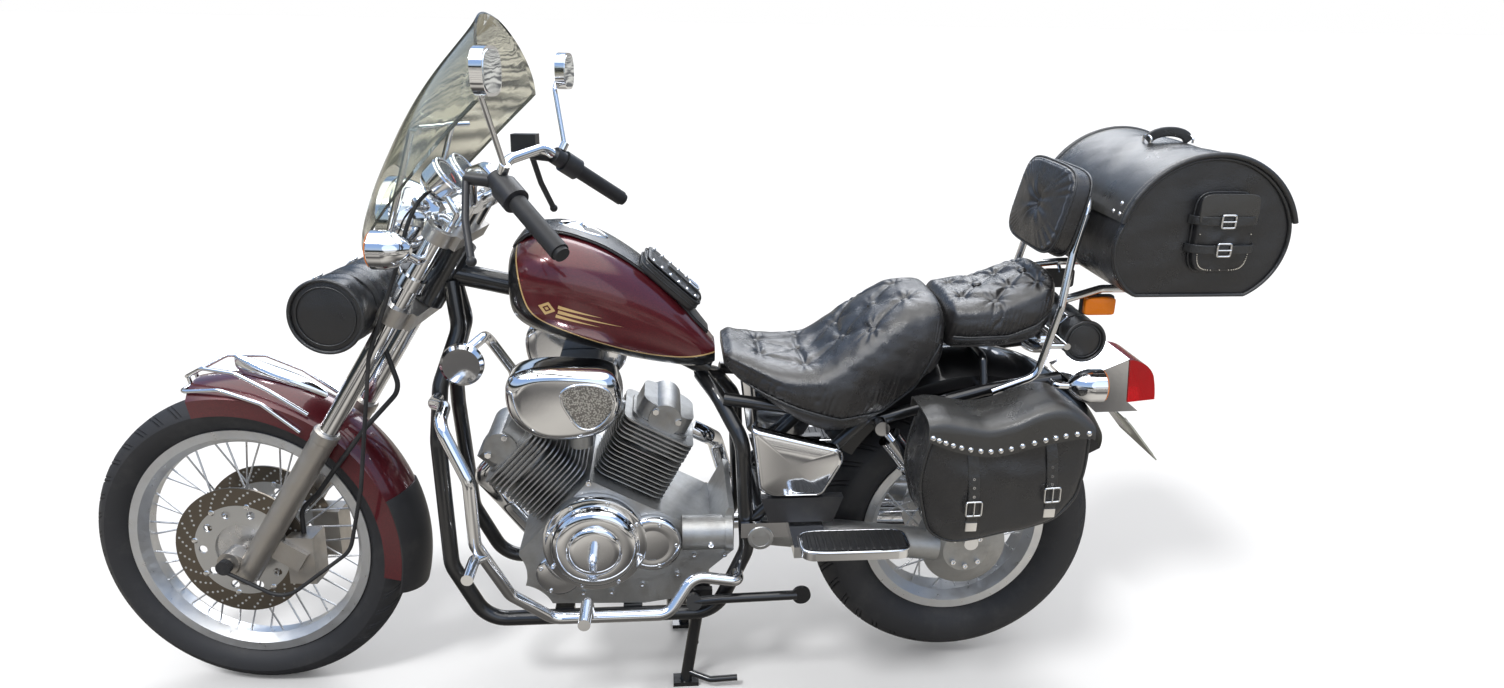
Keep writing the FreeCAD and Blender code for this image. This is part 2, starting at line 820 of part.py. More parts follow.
def make_mirrors():
    """A mirror on a bent stalk on each side."""
    inner, end = bar_points(1)[-2], bar_points(1)[-1]
    along = (end - inner).normalize()
    upward = (Z_AXIS - along * along.z).normalize()
    foot = end - along * 186 + upward * (19 + float(d.running_gap))
    base = foot + upward * 12
    joint = point(254, 292, 1275)
    centre = point(d.mirror_x, d.mirror_half, d.mirror_z)
    stalk = bent_tube([base, joint, centre + Vector(18, 0, 0)], 5, 30)
    nut = rod(foot, base + upward * 5, 9)
    half_width, half_height = float(d.mirror_width) / 2, float(d.mirror_height) / 2
    ring = []
    for index in range(16):
        turn = 2 * math.pi * index / 16
        across = math.copysign(abs(math.cos(turn)) ** 0.7, math.cos(turn))
        up = math.copysign(abs(math.sin(turn)) ** 0.7, math.sin(turn))
        ring.append(centre + Vector(0, half_width * across, half_height * up))
    curve = Part.BSplineCurve()
    curve.interpolate(ring, PeriodicFlag=True)
    head = Part.Face(Part.Wire(curve.toShape())).extrude(Vector(20, 0, 0))
    one = joined([stalk, nut, head])
    node(feature("mirrors_shape", Part.makeCompound([one, flip(one)])), "mirrors", steered=True)


def make_headlight():
    """A chrome headlight shell with its rim and domed glass, on two ears."""
    shell = turned("headlight_body", [
        (0, 0),
        (30, 0),
        (d.headlight_radius - 4, d.headlight_depth - 26, 120),
        (d.headlight_radius, d.headlight_depth - 24),
        (d.headlight_radius, d.headlight_depth),
        (d.headlight_radius - 6, d.headlight_depth + 4),
        (8, d.headlight_depth + 16, 260),
        (0, d.headlight_depth + 16),
    ], role="XZ_Plane")
    shell.Placement = FreeCAD.Placement(
        point(d.headlight_x - d.headlight_depth, 0, d.headlight_z), FreeCAD.Rotation(Y_AXIS, 90))
    root = in_fork(32 + d.running_gap, 0, d.upper_yoke + 14)
    elbow = in_fork(52, 0, d.upper_yoke + 14)
    socket = point(d.headlight_x - d.headlight_depth + 40, 0, d.headlight_z)
    stem = feature("headlight_stem", joined([rod(root, elbow, 13), Part.makeSphere(13, elbow), rod(elbow, socket, 13)]))
    node(fuse("headlight_fused", [shell, stem]), "headlight", steered=True)


def make_gauges():
    """Two round instruments on the upper yoke."""
    cup = turned("gauge_body", [
        (0, -46),
        (d.gauge_radius - 16, -46),
        (d.gauge_radius - 4, -30, 30),
        (d.gauge_radius, 0),
        (d.gauge_radius - 5, 6),
        (0, 6),
    ], role="XZ_Plane")
    cup.Placement = FreeCAD.Placement(point(d.gauge_x, d.gauge_half, d.gauge_z),
                                      FreeCAD.Rotation(Y_AXIS, -52))
    yoke_top = d.upper_yoke + d.yoke_wall + d.running_gap
    side = d.gauge_half + 20
    post = feature("gauge_post", bent_tube([
        in_fork(20, side, yoke_top), in_fork(20, side, yoke_top + 30),
        point(d.gauge_x + 13, side - 6, d.gauge_z - 13)], 6, 14))
    item = both_sides("gauges_pair", fuse("gauge_whole", [cup, post]))
    node(item, "gauges", steered=True)


def screen_line():
    """The windshield's middle line, from its top edge down, with the slope at each place."""
    top = point(d.screen_top_x, 0, d.screen_top_z)
    falls = [(0, 0, 52), (89, -106, 45), (139, -174, 37), (176, -237, 31), (211, -305, 24), (248, -433, 15)]
    return [(top + Vector(ahead, 0, down), math.radians(slope)) for ahead, down, slope in falls]


def screen_bow(place, slope, inset):
    """A level bow across the windshield at one place, as its arc and its two ends."""
    normal = Vector(math.cos(slope), 0, math.sin(slope))
    half = float(d.screen_half) + 12
    radius = float(d.screen_curve) - inset
    centre = place - normal * float(d.screen_curve)
    back = centre + normal * math.sqrt(radius * radius - half * half)
    left, right = back + Vector(0, half, 0), back - Vector(0, half, 0)
    return Part.Arc(left, centre + normal * radius, right).toShape(), left, right


def screen_solid():
    """The windshield's curved sheet before its outline is cut."""
    sections = []
    for place, slope in screen_line():
        outer, left, right = screen_bow(place, slope, 0)
        inner, left_in, right_in = screen_bow(place, slope, float(d.screen_wall))
        edges = [outer, Part.LineSegment(right, right_in).toShape(), inner,
                 Part.LineSegment(left_in, left).toShape()]
        sections.append(Part.Wire(edges))
    return Part.makeLoft(sections, True, False)


def room_behind_screen():
    """The space behind the windshield, where its mounts may reach."""
    sections = []
    for place, slope in screen_line():
        bow, left, right = screen_bow(place, slope, float(d.screen_wall + d.running_gap * 3))
        away = Vector(math.cos(slope), 0, math.sin(slope)) * -120
        edges = [bow, Part.LineSegment(right, right + away).toShape(),
                 Part.LineSegment(right + away, left + away).toShape(),
                 Part.LineSegment(left + away, left).toShape()]
        sections.append(Part.Wire(edges))
    return Part.makeLoft(sections, True, False)


def make_screen():
    """A clear windshield, bowed both ways, with a notch for the headlight."""
    line = [place for place, slope in screen_line()]
    top, shoulder, foot = line[0].z, line[2].z + 20, line[-1].z
    half = float(d.screen_half)
    ring = [
        Part.Arc(Vector(0, -half, shoulder), Vector(0, 0, top), Vector(0, half, shoulder)).toShape(),
        Part.Arc(Vector(0, half, shoulder), Vector(0, half * 0.88, shoulder - 150),
                 Vector(0, half * 0.6, foot)).toShape(),
        Part.LineSegment(Vector(0, half * 0.6, foot), Vector(0, 98, foot)).toShape(),
        Part.Arc(Vector(0, 98, foot), Vector(0, 0, foot + 150), Vector(0, -98, foot)).toShape(),
        Part.LineSegment(Vector(0, -98, foot), Vector(0, -half * 0.6, foot)).toShape(),
        Part.Arc(Vector(0, -half * 0.6, foot), Vector(0, -half * 0.88, shoulder - 150),
                 Vector(0, -half, shoulder)).toShape(),
    ]
    prism = Part.Face(Part.Wire(ring)).extrude(Vector(700, 0, 0))
    node(feature("screen_shape", screen_solid().common(prism)), "windshield", steered=True)


def make_screen_mounts():
    """Chrome clamps on the fork tubes, with bars that reach to the windshield and across it."""
    behind = room_behind_screen()
    bar_z = 1204
    parts = []
    for side in (1, -1):
        ring = Part.makeCylinder(float(d.tube_radius) + 7, 24, point(0, 0, 0), Z_AXIS)
        ring = ring.cut(Part.makeCylinder(float(d.tube_radius + d.running_gap), 30, point(0, 0, -2)))
        ring.Placement = fork_place.multiply(
            FreeCAD.Placement(point(d.fork_offset, d.fork_half * side, d.screen_clamp_up), FreeCAD.Rotation()))
        root = in_fork(d.fork_offset + 26, d.fork_half * side, d.screen_clamp_up + 12)
        elbow = Vector(root.x + 10, 118 * side, root.z + 76)
        tip = Vector(430, 118 * side, bar_z)
        parts += [ring, bent_tube([root, elbow, tip], 6, 24)]
    bar = bent_tube([Vector(406, 150, bar_z), Vector(436, 110, bar_z), Vector(464, 0, bar_z),
                     Vector(436, -110, bar_z), Vector(406, -150, bar_z)], 5, 60)
    parts.append(bar.common(behind))
    node(feature("screen_mounts_shape", joined(parts)), "windshield_mounts", steered=True)


def make_signal(name):
    """A bullet lamp with its lens at the far end."""
    reach = d.signal_length
    return turned(name, [
        (0, 0),
        (8, 0),
        (d.signal_radius, reach * 0.6, 60),
        (d.signal_radius, reach - 4),
        (d.signal_radius - 4, reach),
        (5, reach + 6, 90),
        (0, reach + 6),
    ], role="XZ_Plane")


def make_front_signals():
    lamp = make_signal("front_signal_body")
    lamp.Placement = FreeCAD.Placement(point(d.front_signal_x, d.front_signal_half, d.front_signal_z),
                                       FreeCAD.Rotation(Y_AXIS, 90))
    inner = in_fork(d.fork_offset, d.fork_half + d.tube_radius + d.running_gap, 1128)
    outer = point(d.front_signal_x + d.signal_length / 2, d.front_signal_half - 20, d.front_signal_z)
    stalk = feature("front_signal_stalk", bent_tube([inner, inner + Vector(0, 22, 0), outer], 8, 16))
    whole = fuse("front_signal_whole", [lamp, stalk])
    node(both_sides("front_signals_pair", whole), "front_turn_signals", steered=True)


def make_front_roll():
    """A closed leather tool roll across the fork."""
    roll = cylinder("front_roll_bar", d.roll_radius, 2 * d.roll_half, (d.roll_x, -d.roll_half, d.roll_z), Y_AXIS)
    node(roll, "front_tool_roll", steered=True)


def fender_section(radius, half, skirt, rise, wall):
    """A fender's section with its rounded crown and side skirts."""
    edge = radius - rise
    return [
        (skirt, -half),
        (edge, -half),
        (edge, half, crown(half, rise)),
        (skirt, half),
        (skirt, half - wall),
        (edge, half - wall),
        (edge, wall - half, -crown(half - wall, rise - wall)),
        (skirt, wall - half),
    ]


def make_front_fender():
    body = turned("front_fender_body", fender_section(
        d.front_fender_radius, d.front_fender_half, d.front_fender_skirt, d.fender_rise, d.fender_wall),
        angle=d.front_fender_sweep)
    start = FreeCAD.Rotation(Y_AXIS, -float(d.front_fender_start + d.front_fender_sweep))
    body.Placement = FreeCAD.Placement(point(d.front_axle_x, 0, front_axle_z), start)
    node(body, "front_fender", steered=True)


def make_mudflap():
    """A black flap that wraps the lower end of the front fender."""
    edge = d.front_fender_radius - d.fender_rise + d.running_gap
    half = d.front_fender_half
    bow = crown(half, d.fender_rise)
    flap = turned("mudflap_body", [
        (edge, -half, -bow),
        (edge + d.flap_wall, -half),
        (edge + d.flap_wall, half, bow),
        (edge, half),
    ], angle=36)
    end = float(d.front_fender_start + d.front_fender_sweep) + 5
    flap.Placement = FreeCAD.Placement(point(d.front_axle_x, 0, front_axle_z), FreeCAD.Rotation(Y_AXIS, -end))
    node(flap, "mudflap", steered=True)


def make_fender_trim():
    """Two chrome rails round the front fender's nose, and a streamlined ornament on its crown."""
    tube = 4
    side = float(d.front_fender_half + d.running_gap) + tube
    low = [(718, side, 604), (790, side, 662), (872, side, 690), (962, 58, 679)]
    high = [(700, side - 4, 640), (770, side - 2, 688), (842, 66, 722), (916, 48, 726), (967, 26, 699)]
    parts = []
    for half_way in (low, high):
        left = [Vector(*place) for place in half_way]
        right = [Vector(x, -y, z) for x, y, z in reversed(half_way)]
        parts.append(bent_tube(left + right, tube, 22))
    for side_y in (14, -14):
        parts.append(rod(Vector(962, side_y, 679), Vector(967, side_y, 699), tube))
    rails = joined(parts)
    middle = point(d.front_axle_x, 0, front_axle_z)
    crest = [(690, 4, 640, 664), (735, 15, 660, 694), (790, 19, 680, 716), (838, 13, 690, 734), (872, 4, 716, 744)]
    sections = [smooth_section(x, half, low, high, 2.4, 14) for x, half, low, high in crest]
    hull = Part.makeCylinder(float(d.front_fender_radius + d.running_gap), 60, middle - Vector(0, 30, 0), Y_AXIS)
    ornament = Part.makeLoft(sections, True, False).cut(hull)
    node(feature("fender_trim_shape", Part.makeCompound([rails, ornament])), "front_fender_trim", steered=True)


def make_control_lines():
    """The brake hose from the lower yoke to the left caliper, and the instrument's cable to the hub."""
    start = in_fork(d.fork_offset + 30 + d.running_gap, 70, d.lower_yoke + 18)
    caliper_top = float(front_axle_z + d.caliper_height / 2) - 6 + float(d.running_gap)
    hose = bent_tube([start, start + Vector(26, 4, -34), Vector(506, 80, 700), Vector(580, 88, 620),
                      Vector(650, 88, 530), Vector(696, 72, 470), Vector(738, 68, 430), Vector(738, 68, caliper_top)],
                     5, 40)
    cable = bent_tube([Vector(429.5, 52, 1088.7), Vector(436, 52, 1083.6), Vector(438, 100, 1072),
                       Vector(446, 134, 1040), Vector(470, 140, 960), Vector(540, 136, 783), Vector(579, 138, 509),
                       Vector(612, 139, 375), Vector(758, 139, 262), Vector(874, 138, 322)], 4, 60)
    axle_end = float(d.fork_half) + 28 + float(d.running_gap)
    gland = rod(point(d.front_axle_x, axle_end, front_axle_z), point(d.front_axle_x, axle_end + 14, front_axle_z), 15)
    node(feature("control_lines_shape", Part.makeCompound([hose, cable.fuse(gland)])), "brake_hose_and_cable",
         steered=True)


# Frame, engine and drive


def spine_points():
    """The route of the tube under the tank."""
    middle = in_fork(0, 0, (d.head_tube_low + d.head_tube_high) / 2)
    return [middle, Vector(180, 0, 868), Vector(-100, 0, 712)]


side_stand_axis = FreeCAD.Rotation(X_AXIS, float(d.side_stand_splay)).multVec(Y_AXIS)
side_stand_pivot = point(d.side_stand_x, 152, d.side_stand_z)


shock_top = (-441, 640)
shock_low = (-647, 372)
shock_half = 164
shock_eye = 28
cover_half = 168
cover_depth = 26
box_depth = 22
guard_top = Vector(440, 99.2, 690)
guard_low = Vector(-156, 144.4, 300)
bag_pads = ((-540, 667), (-710, 706))


def side_lugs(side):
    """The lugs on one side that carry the engine, seats, covers, shocks, fender and bags."""
    gap = float(d.running_gap)
    half = float(d.frame_half)
    floor = float(d.frame_low_z)
    pad_face = float(d.bag_inner) - gap
    shock_face = shock_half - shock_eye / 2 - gap
    parts = [
        Part.makeBox(40, 14, float(d.stand_pivot_z) - floor + 18,
                     point(d.stand_pivot_x - 20, half * side - 7, floor)),
        rod(point(shock_top[0], half * side, shock_top[1]), point(shock_top[0], shock_face * side, shock_top[1]), 10),
        rod(point(-290, half * side, 518), point(-290, (cover_half - cover_depth - gap) * side, 518), 7),
        rod(point(-655, 126 * side, 702), point(-655, (float(d.rear_fender_half) + gap) * side, 702), 7),
    ]
    for x in (46, 190):
        parts.append(Part.makeBox(40, 22, 19.6, point(x, half * side - (24 if side > 0 else -2), floor)))
    for x, rail_z in bag_pads:
        parts.append(rod(point(x, 126 * side, rail_z), point(x, (pad_face - 6) * side, 660), 7))
        parts.append(rod(point(x, (pad_face - 9) * side, 660), point(x, pad_face * side, 660), 14))
    return parts


def seat_hoop(x, foot_z, side_y, top_z):
    """A hoop between the rear rails that a seat rests on."""
    return bent_tube([point(x, 122, foot_z), point(x, side_y, top_z), point(x, -side_y, top_z),
                      point(x, -122, foot_z)], 8, 18)


def make_frame():
    """A twin-loop tube frame with its head tube, rear rails and lugs."""
    radius = float(d.frame_tube)
    low = in_fork(0, 0, d.head_tube_low)
    high = in_fork(0, 0, d.head_tube_high)
    head = rod(low, high, d.head_tube_radius)
    parts = [head]
    parts.append(bent_tube(spine_points(), d.spine_radius, 200))
    half = float(d.frame_half)
    floor = float(d.frame_low_z)
    for side in (1, -1):
        loop = bent_tube([
            in_fork(-20, 14 * side, 1082), in_fork(-80, 34 * side, 1010), in_fork(-104, 74 * side, 900),
            point(446, 104 * side, 600), point(436, half * side, 330), point(372, half * side, floor),
            point(-110, half * side, floor),
            point(d.pivot_x + 26, half * side, d.pivot_z - 40), point(-165, half * side, 596),
            point(-118, 70 * side, 672), point(-84, 6 * side, 700),
        ], radius, 70)
        rail = bent_tube([
            point(-128, 92 * side, 676), point(-440, 128 * side, 640), point(-660, 126 * side, 700),
            point(-818, 118 * side, 722),
        ], 13, 120)
        stay = rod(point(d.pivot_x + 26, half * side, d.pivot_z + 20), point(-420, 128 * side, 646), 12)
        parts += [loop, rail, stay] + side_lugs(side)
    parts.append(rod(point(d.pivot_x + 4, -half, d.pivot_z), point(d.pivot_x + 4, half, d.pivot_z), 24))
    parts.append(rod(point(-20, -half, floor), point(-20, half, floor), 14))
    parts.append(rod(point(d.stand_pivot_x, -half, d.stand_pivot_z), point(d.stand_pivot_x, half, d.stand_pivot_z),
                     d.pin_radius))
    tank_room = float(d.spine_radius + d.tank_gap) - float(d.running_gap)
    for x, z in ((120, 834), (0, 771)):
        parts.append(rod(Vector(x, -tank_room, z), Vector(x, tank_room, z), 11))
    parts.append(seat_hoop(-300, 656, 96, 703.6))
    parts.append(seat_hoop(-660, 700, 98, 762))
    parts.append(rod(side_stand_pivot - side_stand_axis * 32, side_stand_pivot - side_stand_axis * 0.5, 8))
    shape = joined(parts)
    bore = rod(in_fork(0, 0, d.head_tube_low - 5), in_fork(0, 0, d.head_tube_high + 5),
               d.stem_radius + d.running_gap)
    node(feature("frame_shape", shape.cut(bore)), "frame")


def make_crankcase():
    body = plate("crankcase_body", [
        (300, 340),
        (290, 268, 80),
        (236, 222, 80),
        (40, 216),
        (-32, 226),
        (-100, 296),
        (-150, 340),
        (-150, 436),
        (-70, 470),
        (60, 560),
        (220, 560),
        (296, 420),
    ], 2 * d.case_half)
    seats = []
    for name, lean in (("front_seat", d.front_lean), ("rear_seat", d.rear_lean)):
        seat = Part.makeBox(400, 400, 400, Vector(-200, -200, float(d.cylinder_base - d.running_gap)))
        item = feature(name, seat)
        item.Placement = FreeCAD.Placement(point(d.crank_x, 0, d.crank_z), FreeCAD.Rotation(Y_AXIS, float(lean)))
        seats.append(item)
    case = cut("crankcase_seated", body, fuse("seats_fused", seats))
    housing = cylinder("gear_housing", 37, 105, (-146, d.case_half - 6, d.crank_z + 9), X_AXIS)
    collar = cylinder("gear_housing_collar", 41, 16, (-146, d.case_half - 6, d.crank_z + 9), X_AXIS)
    node(fuse("crankcase_fused", [case, housing, collar]), "crankcase")


def make_cylinder(label, lean):
    """One finned barrel and head, leaning from the crank."""
    base = float(d.cylinder_base)
    half, wide = float(d.fin_half), float(d.fin_wide)
    wall, pitch = float(d.fin_wall), float(d.fin_pitch)
    fins = []
    barrel_count = int(float(d.barrel_fins))
    head_count = int(float(d.head_fins))
    barrel_top = base + barrel_count * pitch + 8
    core = Part.makeCylinder(float(d.barrel_radius), barrel_top - base, Vector(0, 0, base))
    for index in range(barrel_count):
        fins.append(fin_plate(half, wide, 26, base + 8 + index * pitch, wall))
    head = fin_plate(half - 16, wide - 14, 30, barrel_top, head_count * pitch + 4)
    for index in range(head_count):
        fins.append(fin_plate(half, wide, 22, barrel_top + 4 + index * pitch, wall + 0.8))
    top = fin_plate(half - 22, wide - 20, 30, barrel_top + head_count * pitch + 4, 38)
    cap = Part.makeCylinder(34, 2 * wide - 24, Vector(0, 12 - wide, barrel_top + head_count * pitch + 22), Y_AXIS)
    shape = joined([core, head, top, cap] + fins)
    item = feature(label + "_shape", shape)
    item.Placement = FreeCAD.Placement(point(d.crank_x, 0, d.crank_z), FreeCAD.Rotation(Y_AXIS, float(lean)))
    node(item, label)


def fin_plate(half, wide, corner, height, thickness):
    """A flat plate with rounded corners."""
    box = Part.makeBox(2 * half, 2 * wide, thickness, Vector(-half, -wide, height))
    uprights = [edge for edge in box.Edges if abs(edge.tangentAt(edge.FirstParameter).z) > 0.9]
    return box.makeFillet(corner, uprights)


def make_engine_covers():
    """Chrome covers on both sides of the crankcase."""
    face = float(d.case_half + d.running_gap)
    centre = (float(d.crank_x) + 15, float(d.crank_z) + 3)
    parts = []
    for side in (1, -1):
        outer = Part.makeCylinder(float(d.cover_radius) + 18, 26, Vector(centre[0], face * side, centre[1]),
                                  Vector(0, side, 0))
        rear = Part.makeCylinder(62, 22, Vector(centre[0] - 118, face * side, centre[1] - 8), Vector(0, side, 0))
        low = Part.makeCylinder(48, 20, Vector(centre[0] + 78, face * side, centre[1] - 74), Vector(0, side, 0))
        drum = Part.makeCone(float(d.cover_radius), float(d.cover_radius) - 10, 24,
                             Vector(centre[0], (face + 26) * side, centre[1]), Vector(0, side, 0))
        dome = Part.makeCone(56, 50, 8, Vector(centre[0], (face + 50) * side, centre[1]), Vector(0, side, 0))
        parts.append(joined([outer, rear, low, drum, dome]))
    node(feature("engine_covers_shape", Part.makeCompound(parts)), "engine_covers")


def make_air_cleaners():
    """An oval chrome pod on each side, joined through the vee."""
    half = float(d.pod_half)
    x, z = float(d.pod_x), float(d.pod_z)
    profile = [(108, 40), (70, 70), (-20, 73), (-96, 56), (-108, -18), (-60, -66), (40, -72), (100, -30)]
    ring = [Vector(x + ahead, 0, z + up) for ahead, up in profile]
    curve = Part.BSplineCurve()
    curve.interpolate(ring, PeriodicFlag=True)
    face = Part.Face(Part.Wire(curve.toShape()))
    parts = []
    for side in (1, -1):
        pod = face.extrude(Vector(0, 92 * side, 0))
        pod.translate(Vector(0, (half - 92) * side, 0))
        parts.append(pod)
    duct = Part.makeBox(90, 2 * (half - 92) + 4, 60, Vector(x - 55, -(half - 92) - 2, z - 50))
    parts.append(duct)
    node(feature("air_cleaners_shape", joined(parts)), "air_cleaners")


def make_carburettors():
    """Two carburettors under the air box, with an intake stub to each cylinder."""
    gap = float(d.running_gap)
    up = float(d.cylinder_base) + 124
    reach = float(d.fin_half) + gap
    base_z = float(d.pod_z) - 50 - gap
    block = Part.makeBox(80, 150, 46, Vector(float(d.pod_x) - 58, -75, base_z - 46))
    parts = [block]
    for lean, way in ((d.front_lean, -1), (d.rear_lean, 1)):
        mouth = from_crank(lean, reach * way, up)
        inward = from_crank(lean, (reach + 30) * way, up)
        parts.append(rod(mouth, inward, 21))
        parts.append(rod(inward, Vector(float(d.pod_x) - 18, 0, base_z - 22), 21))
    for side in (1, -1):
        parts.append(Part.makeCylinder(25, 92, Vector(float(d.pod_x) - 18, 58 * side, base_z - 92)))
    shape = joined(parts)
    node(feature("carburettors_shape", shape), "carburettors")


def make_horn():
    """A round horn on a bracket at the left front down tube."""
    disc = turned("horn_body", [
        (0, 0),
        (30, 0),
        (42, 8),
        (42, 20),
        (36, 26),
        (0, 26),
    ])
    disc.Placement = FreeCAD.Placement(Vector(384, 100, 766), FreeCAD.Rotation())
    stalk = feature("horn_bracket", bent_tube([
        Vector(384, 104, 766), Vector(384, 90, 766), Vector(427, 90, 741), Vector(427, 80.5, 740)], 5, 8))
    node(fuse("horn_whole", [disc, stalk]), "horn")


def from_crank(lean, ahead, up, side=0):
    """Place a point given along a leaning cylinder."""
    turn = FreeCAD.Rotation(Y_AXIS, float(lean))
    return point(d.crank_x, side, d.crank_z) + turn.multVec(Vector(ahead, 0, up))


def make_exhaust():
    """Two header pipes and two mufflers on the right."""
    pipe = 19
    port_up = float(d.cylinder_base) + 142
    out = float(d.fin_half) + 0.5
    front_port = from_crank(d.front_lean, out, port_up)
    rear_port = from_crank(d.rear_lean, -out, port_up)
    front = bent_tube([Vector(front_port.x, -30, front_port.z), from_crank(d.front_lean, out + 40, port_up, -30),
                       point(366, -146, 330), point(306, -160, 236), point(-240, -196, 236)], pipe, 60)
    rear = bent_tube([Vector(rear_port.x, -30, rear_port.z), from_crank(d.rear_lean, -out - 34, port_up, -30),
                      point(-122, -166, 470), point(-146, -184, 380), point(-220, -204, 338),
                      point(-300, -222, 338)], pipe, 50)
    low = Part.makeCone(pipe, 43, 90, point(-240, -212, 236), Vector(-1, 0, 0)).fuse(
        Part.makeCylinder(43, 560, point(-330, -212, 236), Vector(-1, 0, 0)))
    high = Part.makeCone(pipe, 43, 80, point(-300, -222, 338), Vector(-1, 0, 0)).fuse(
        Part.makeCylinder(43, 500, point(-380, -222, 338), Vector(-1, 0, 0)))
    shape = joined([front, rear, low, high])
    node(feature("exhaust_shape", shape), "exhaust")


def make_swingarm():
    """The rear arm, with the shaft housing and final drive on the left, and the axle."""
    axle = point(rear_axle_x, 0, rear_axle_z)
    half = float(d.rear_hub_half)
    parts = []
    left = point(d.pivot_x - 2, 112, d.pivot_z)
    parts.append(rod(left, Vector(axle.x + 60, 112, axle.z), 34))
    parts.append(Part.makeCylinder(92, 46, Vector(axle.x, half + 6, axle.z), Y_AXIS))
    parts.append(Part.makeCone(92, 50, 22, Vector(axle.x, half + 52, axle.z), Y_AXIS))
    right = point(d.pivot_x - 2, -112, d.pivot_z)
    parts.append(rod(right, Vector(axle.x, -112, axle.z), 19))
    parts.append(Part.makeCylinder(26, 40, Vector(axle.x, -132, axle.z), Y_AXIS))
    cross = point(d.pivot_x - 52, -112, d.pivot_z - 5)
    parts.append(rod(cross, Vector(cross.x, 112, cross.z), 21))
    parts.append(Part.makeCylinder(float(d.axle_radius), 2 * half + 70, Vector(axle.x, -half - 40, axle.z), Y_AXIS))
    lug_face = shock_half - shock_eye / 2 - float(d.running_gap)
    for side in (1, -1):
        parts.append(rod(Vector(shock_low[0], 126 * side, shock_low[1]),
                         Vector(shock_low[0], lug_face * side, shock_low[1]), 11))
    parts.append(Part.makeBox(28, 24, 62, Vector(shock_low[0] - 14, -138, shock_low[1] - 51)))
    socket = Part.makeCylinder(24 + float(d.running_gap), 2 * float(d.frame_half),
                               point(d.pivot_x + 4, -d.frame_half, d.pivot_z), Y_AXIS)
    node(feature("swingarm_shape", joined(parts).cut(socket)), "swingarm")


def make_shocks():
    """A coil-over shock on each side."""
    top = point(shock_top[0], shock_half, shock_top[1])
    low = point(shock_low[0], shock_half, shock_low[1])
    along = (low - top).normalize()
    length = (low - top).Length
    rod_part = rod(top, low, 7)
    body = rod(top + along * 30, top + along * 92, 25)
    spring = rod(top + along * 92, low - along * 50, 22)
    seat = rod(low - along * 50, low - along * 40, 26)
    eyes = [Part.makeCylinder(15, shock_eye, Vector(end.x, end.y - shock_eye / 2, end.z), Y_AXIS)
            for end in (top, low)]
    one = joined([rod_part, body, spring, seat] + eyes)
    node(feature("shocks_shape", Part.makeCompound([one, flip(one)])), "shocks")


def make_rear_fender():
    body = turned("rear_fender_body", fender_section(
        d.rear_fender_radius, d.rear_fender_half, d.rear_fender_skirt, d.fender_rise, d.fender_wall),
        angle=d.rear_fender_sweep)
    start = FreeCAD.Rotation(Y_AXIS, -float(d.rear_fender_start + d.rear_fender_sweep))
    body.Placement = FreeCAD.Placement(point(d.rear_fender_x, 0, d.rear_fender_z), start)
    node(body, "rear_fender")


# Tank, seats and side covers


def tank_loft(grow=0):
    """The tank's teardrop, or the same grown outwards."""
    front, rear = float(d.tank_front_x), float(d.tank_rear_x)
    length = front - rear
    half = float(d.tank_half)
    shares = [(0.0, 0.55, 852, 965), (0.07, 0.84, 822, 1000), (0.2, 1.0, 800, 1014), (0.4, 0.99, 772, 996),
              (0.6, 0.84, 748, 948), (0.8, 0.62, 730, 876), (0.94, 0.42, 724, 806), (1.0, 0.3, 732, 774)]
    sections = [smooth_section(front - share * length, half * width + grow, low - grow, high + grow, 2.6)
                for share, width, low, high in shares]
    return Part.makeLoft(sections, True, False)


def make_tank():
    """A teardrop tank over the frame's spine."""
    room = float(d.spine_radius + d.tank_gap)
    roof = [place + Vector(0, 0, room * 1.15) for place in spine_points()]
    ring = Part.makePolygon([Vector(500, 0, 600), roof[0]] + roof[1:] + [Vector(-200, 0, 690), Vector(-200, 0, 600),
                                                                         Vector(500, 0, 600)])
    slot = Part.Face(ring).extrude(Vector(0, 2 * room, 0))
    slot.translate(Vector(0, -room, 0))
    node(feature("tank_shape", tank_loft().cut(slot)), "fuel_tank")


def make_tank_bib():
    """A leather bib along the tank's top, with a small pouch on it."""
    gap = float(d.running_gap)
    plan = [(284, 34), (262, 50), (150, 57), (40, 50), (-70, 37), (-97, 24)]
    left = [Vector(x, y, 700) for x, y in plan]
    right = [Vector(x, -y, 700) for x, y in reversed(plan)]
    prism = Part.Face(Part.makePolygon(left + right + [left[0]])).extrude(Vector(0, 0, 400))
    sheets = tank_loft(float(d.bib_wall) + gap).cut(tank_loft(gap)).common(prism).Solids
    upper = max(sheets, key=lambda solid: solid.BoundBox.ZMax)
    pouch = Part.makeBox(148, 112, 40, Vector(0, -56, 0))
    pouch = pouch.makeFillet(11, pouch.Edges)
    pouch.Placement = FreeCAD.Placement(Vector(-60, 0, 838), FreeCAD.Rotation(Y_AXIS, -42))
    pouch = pouch.cut(tank_loft(float(d.bib_wall) + gap - 1))
    node(feature("bib_shape", upper.fuse(pouch).removeSplitter()), "tank_bib")


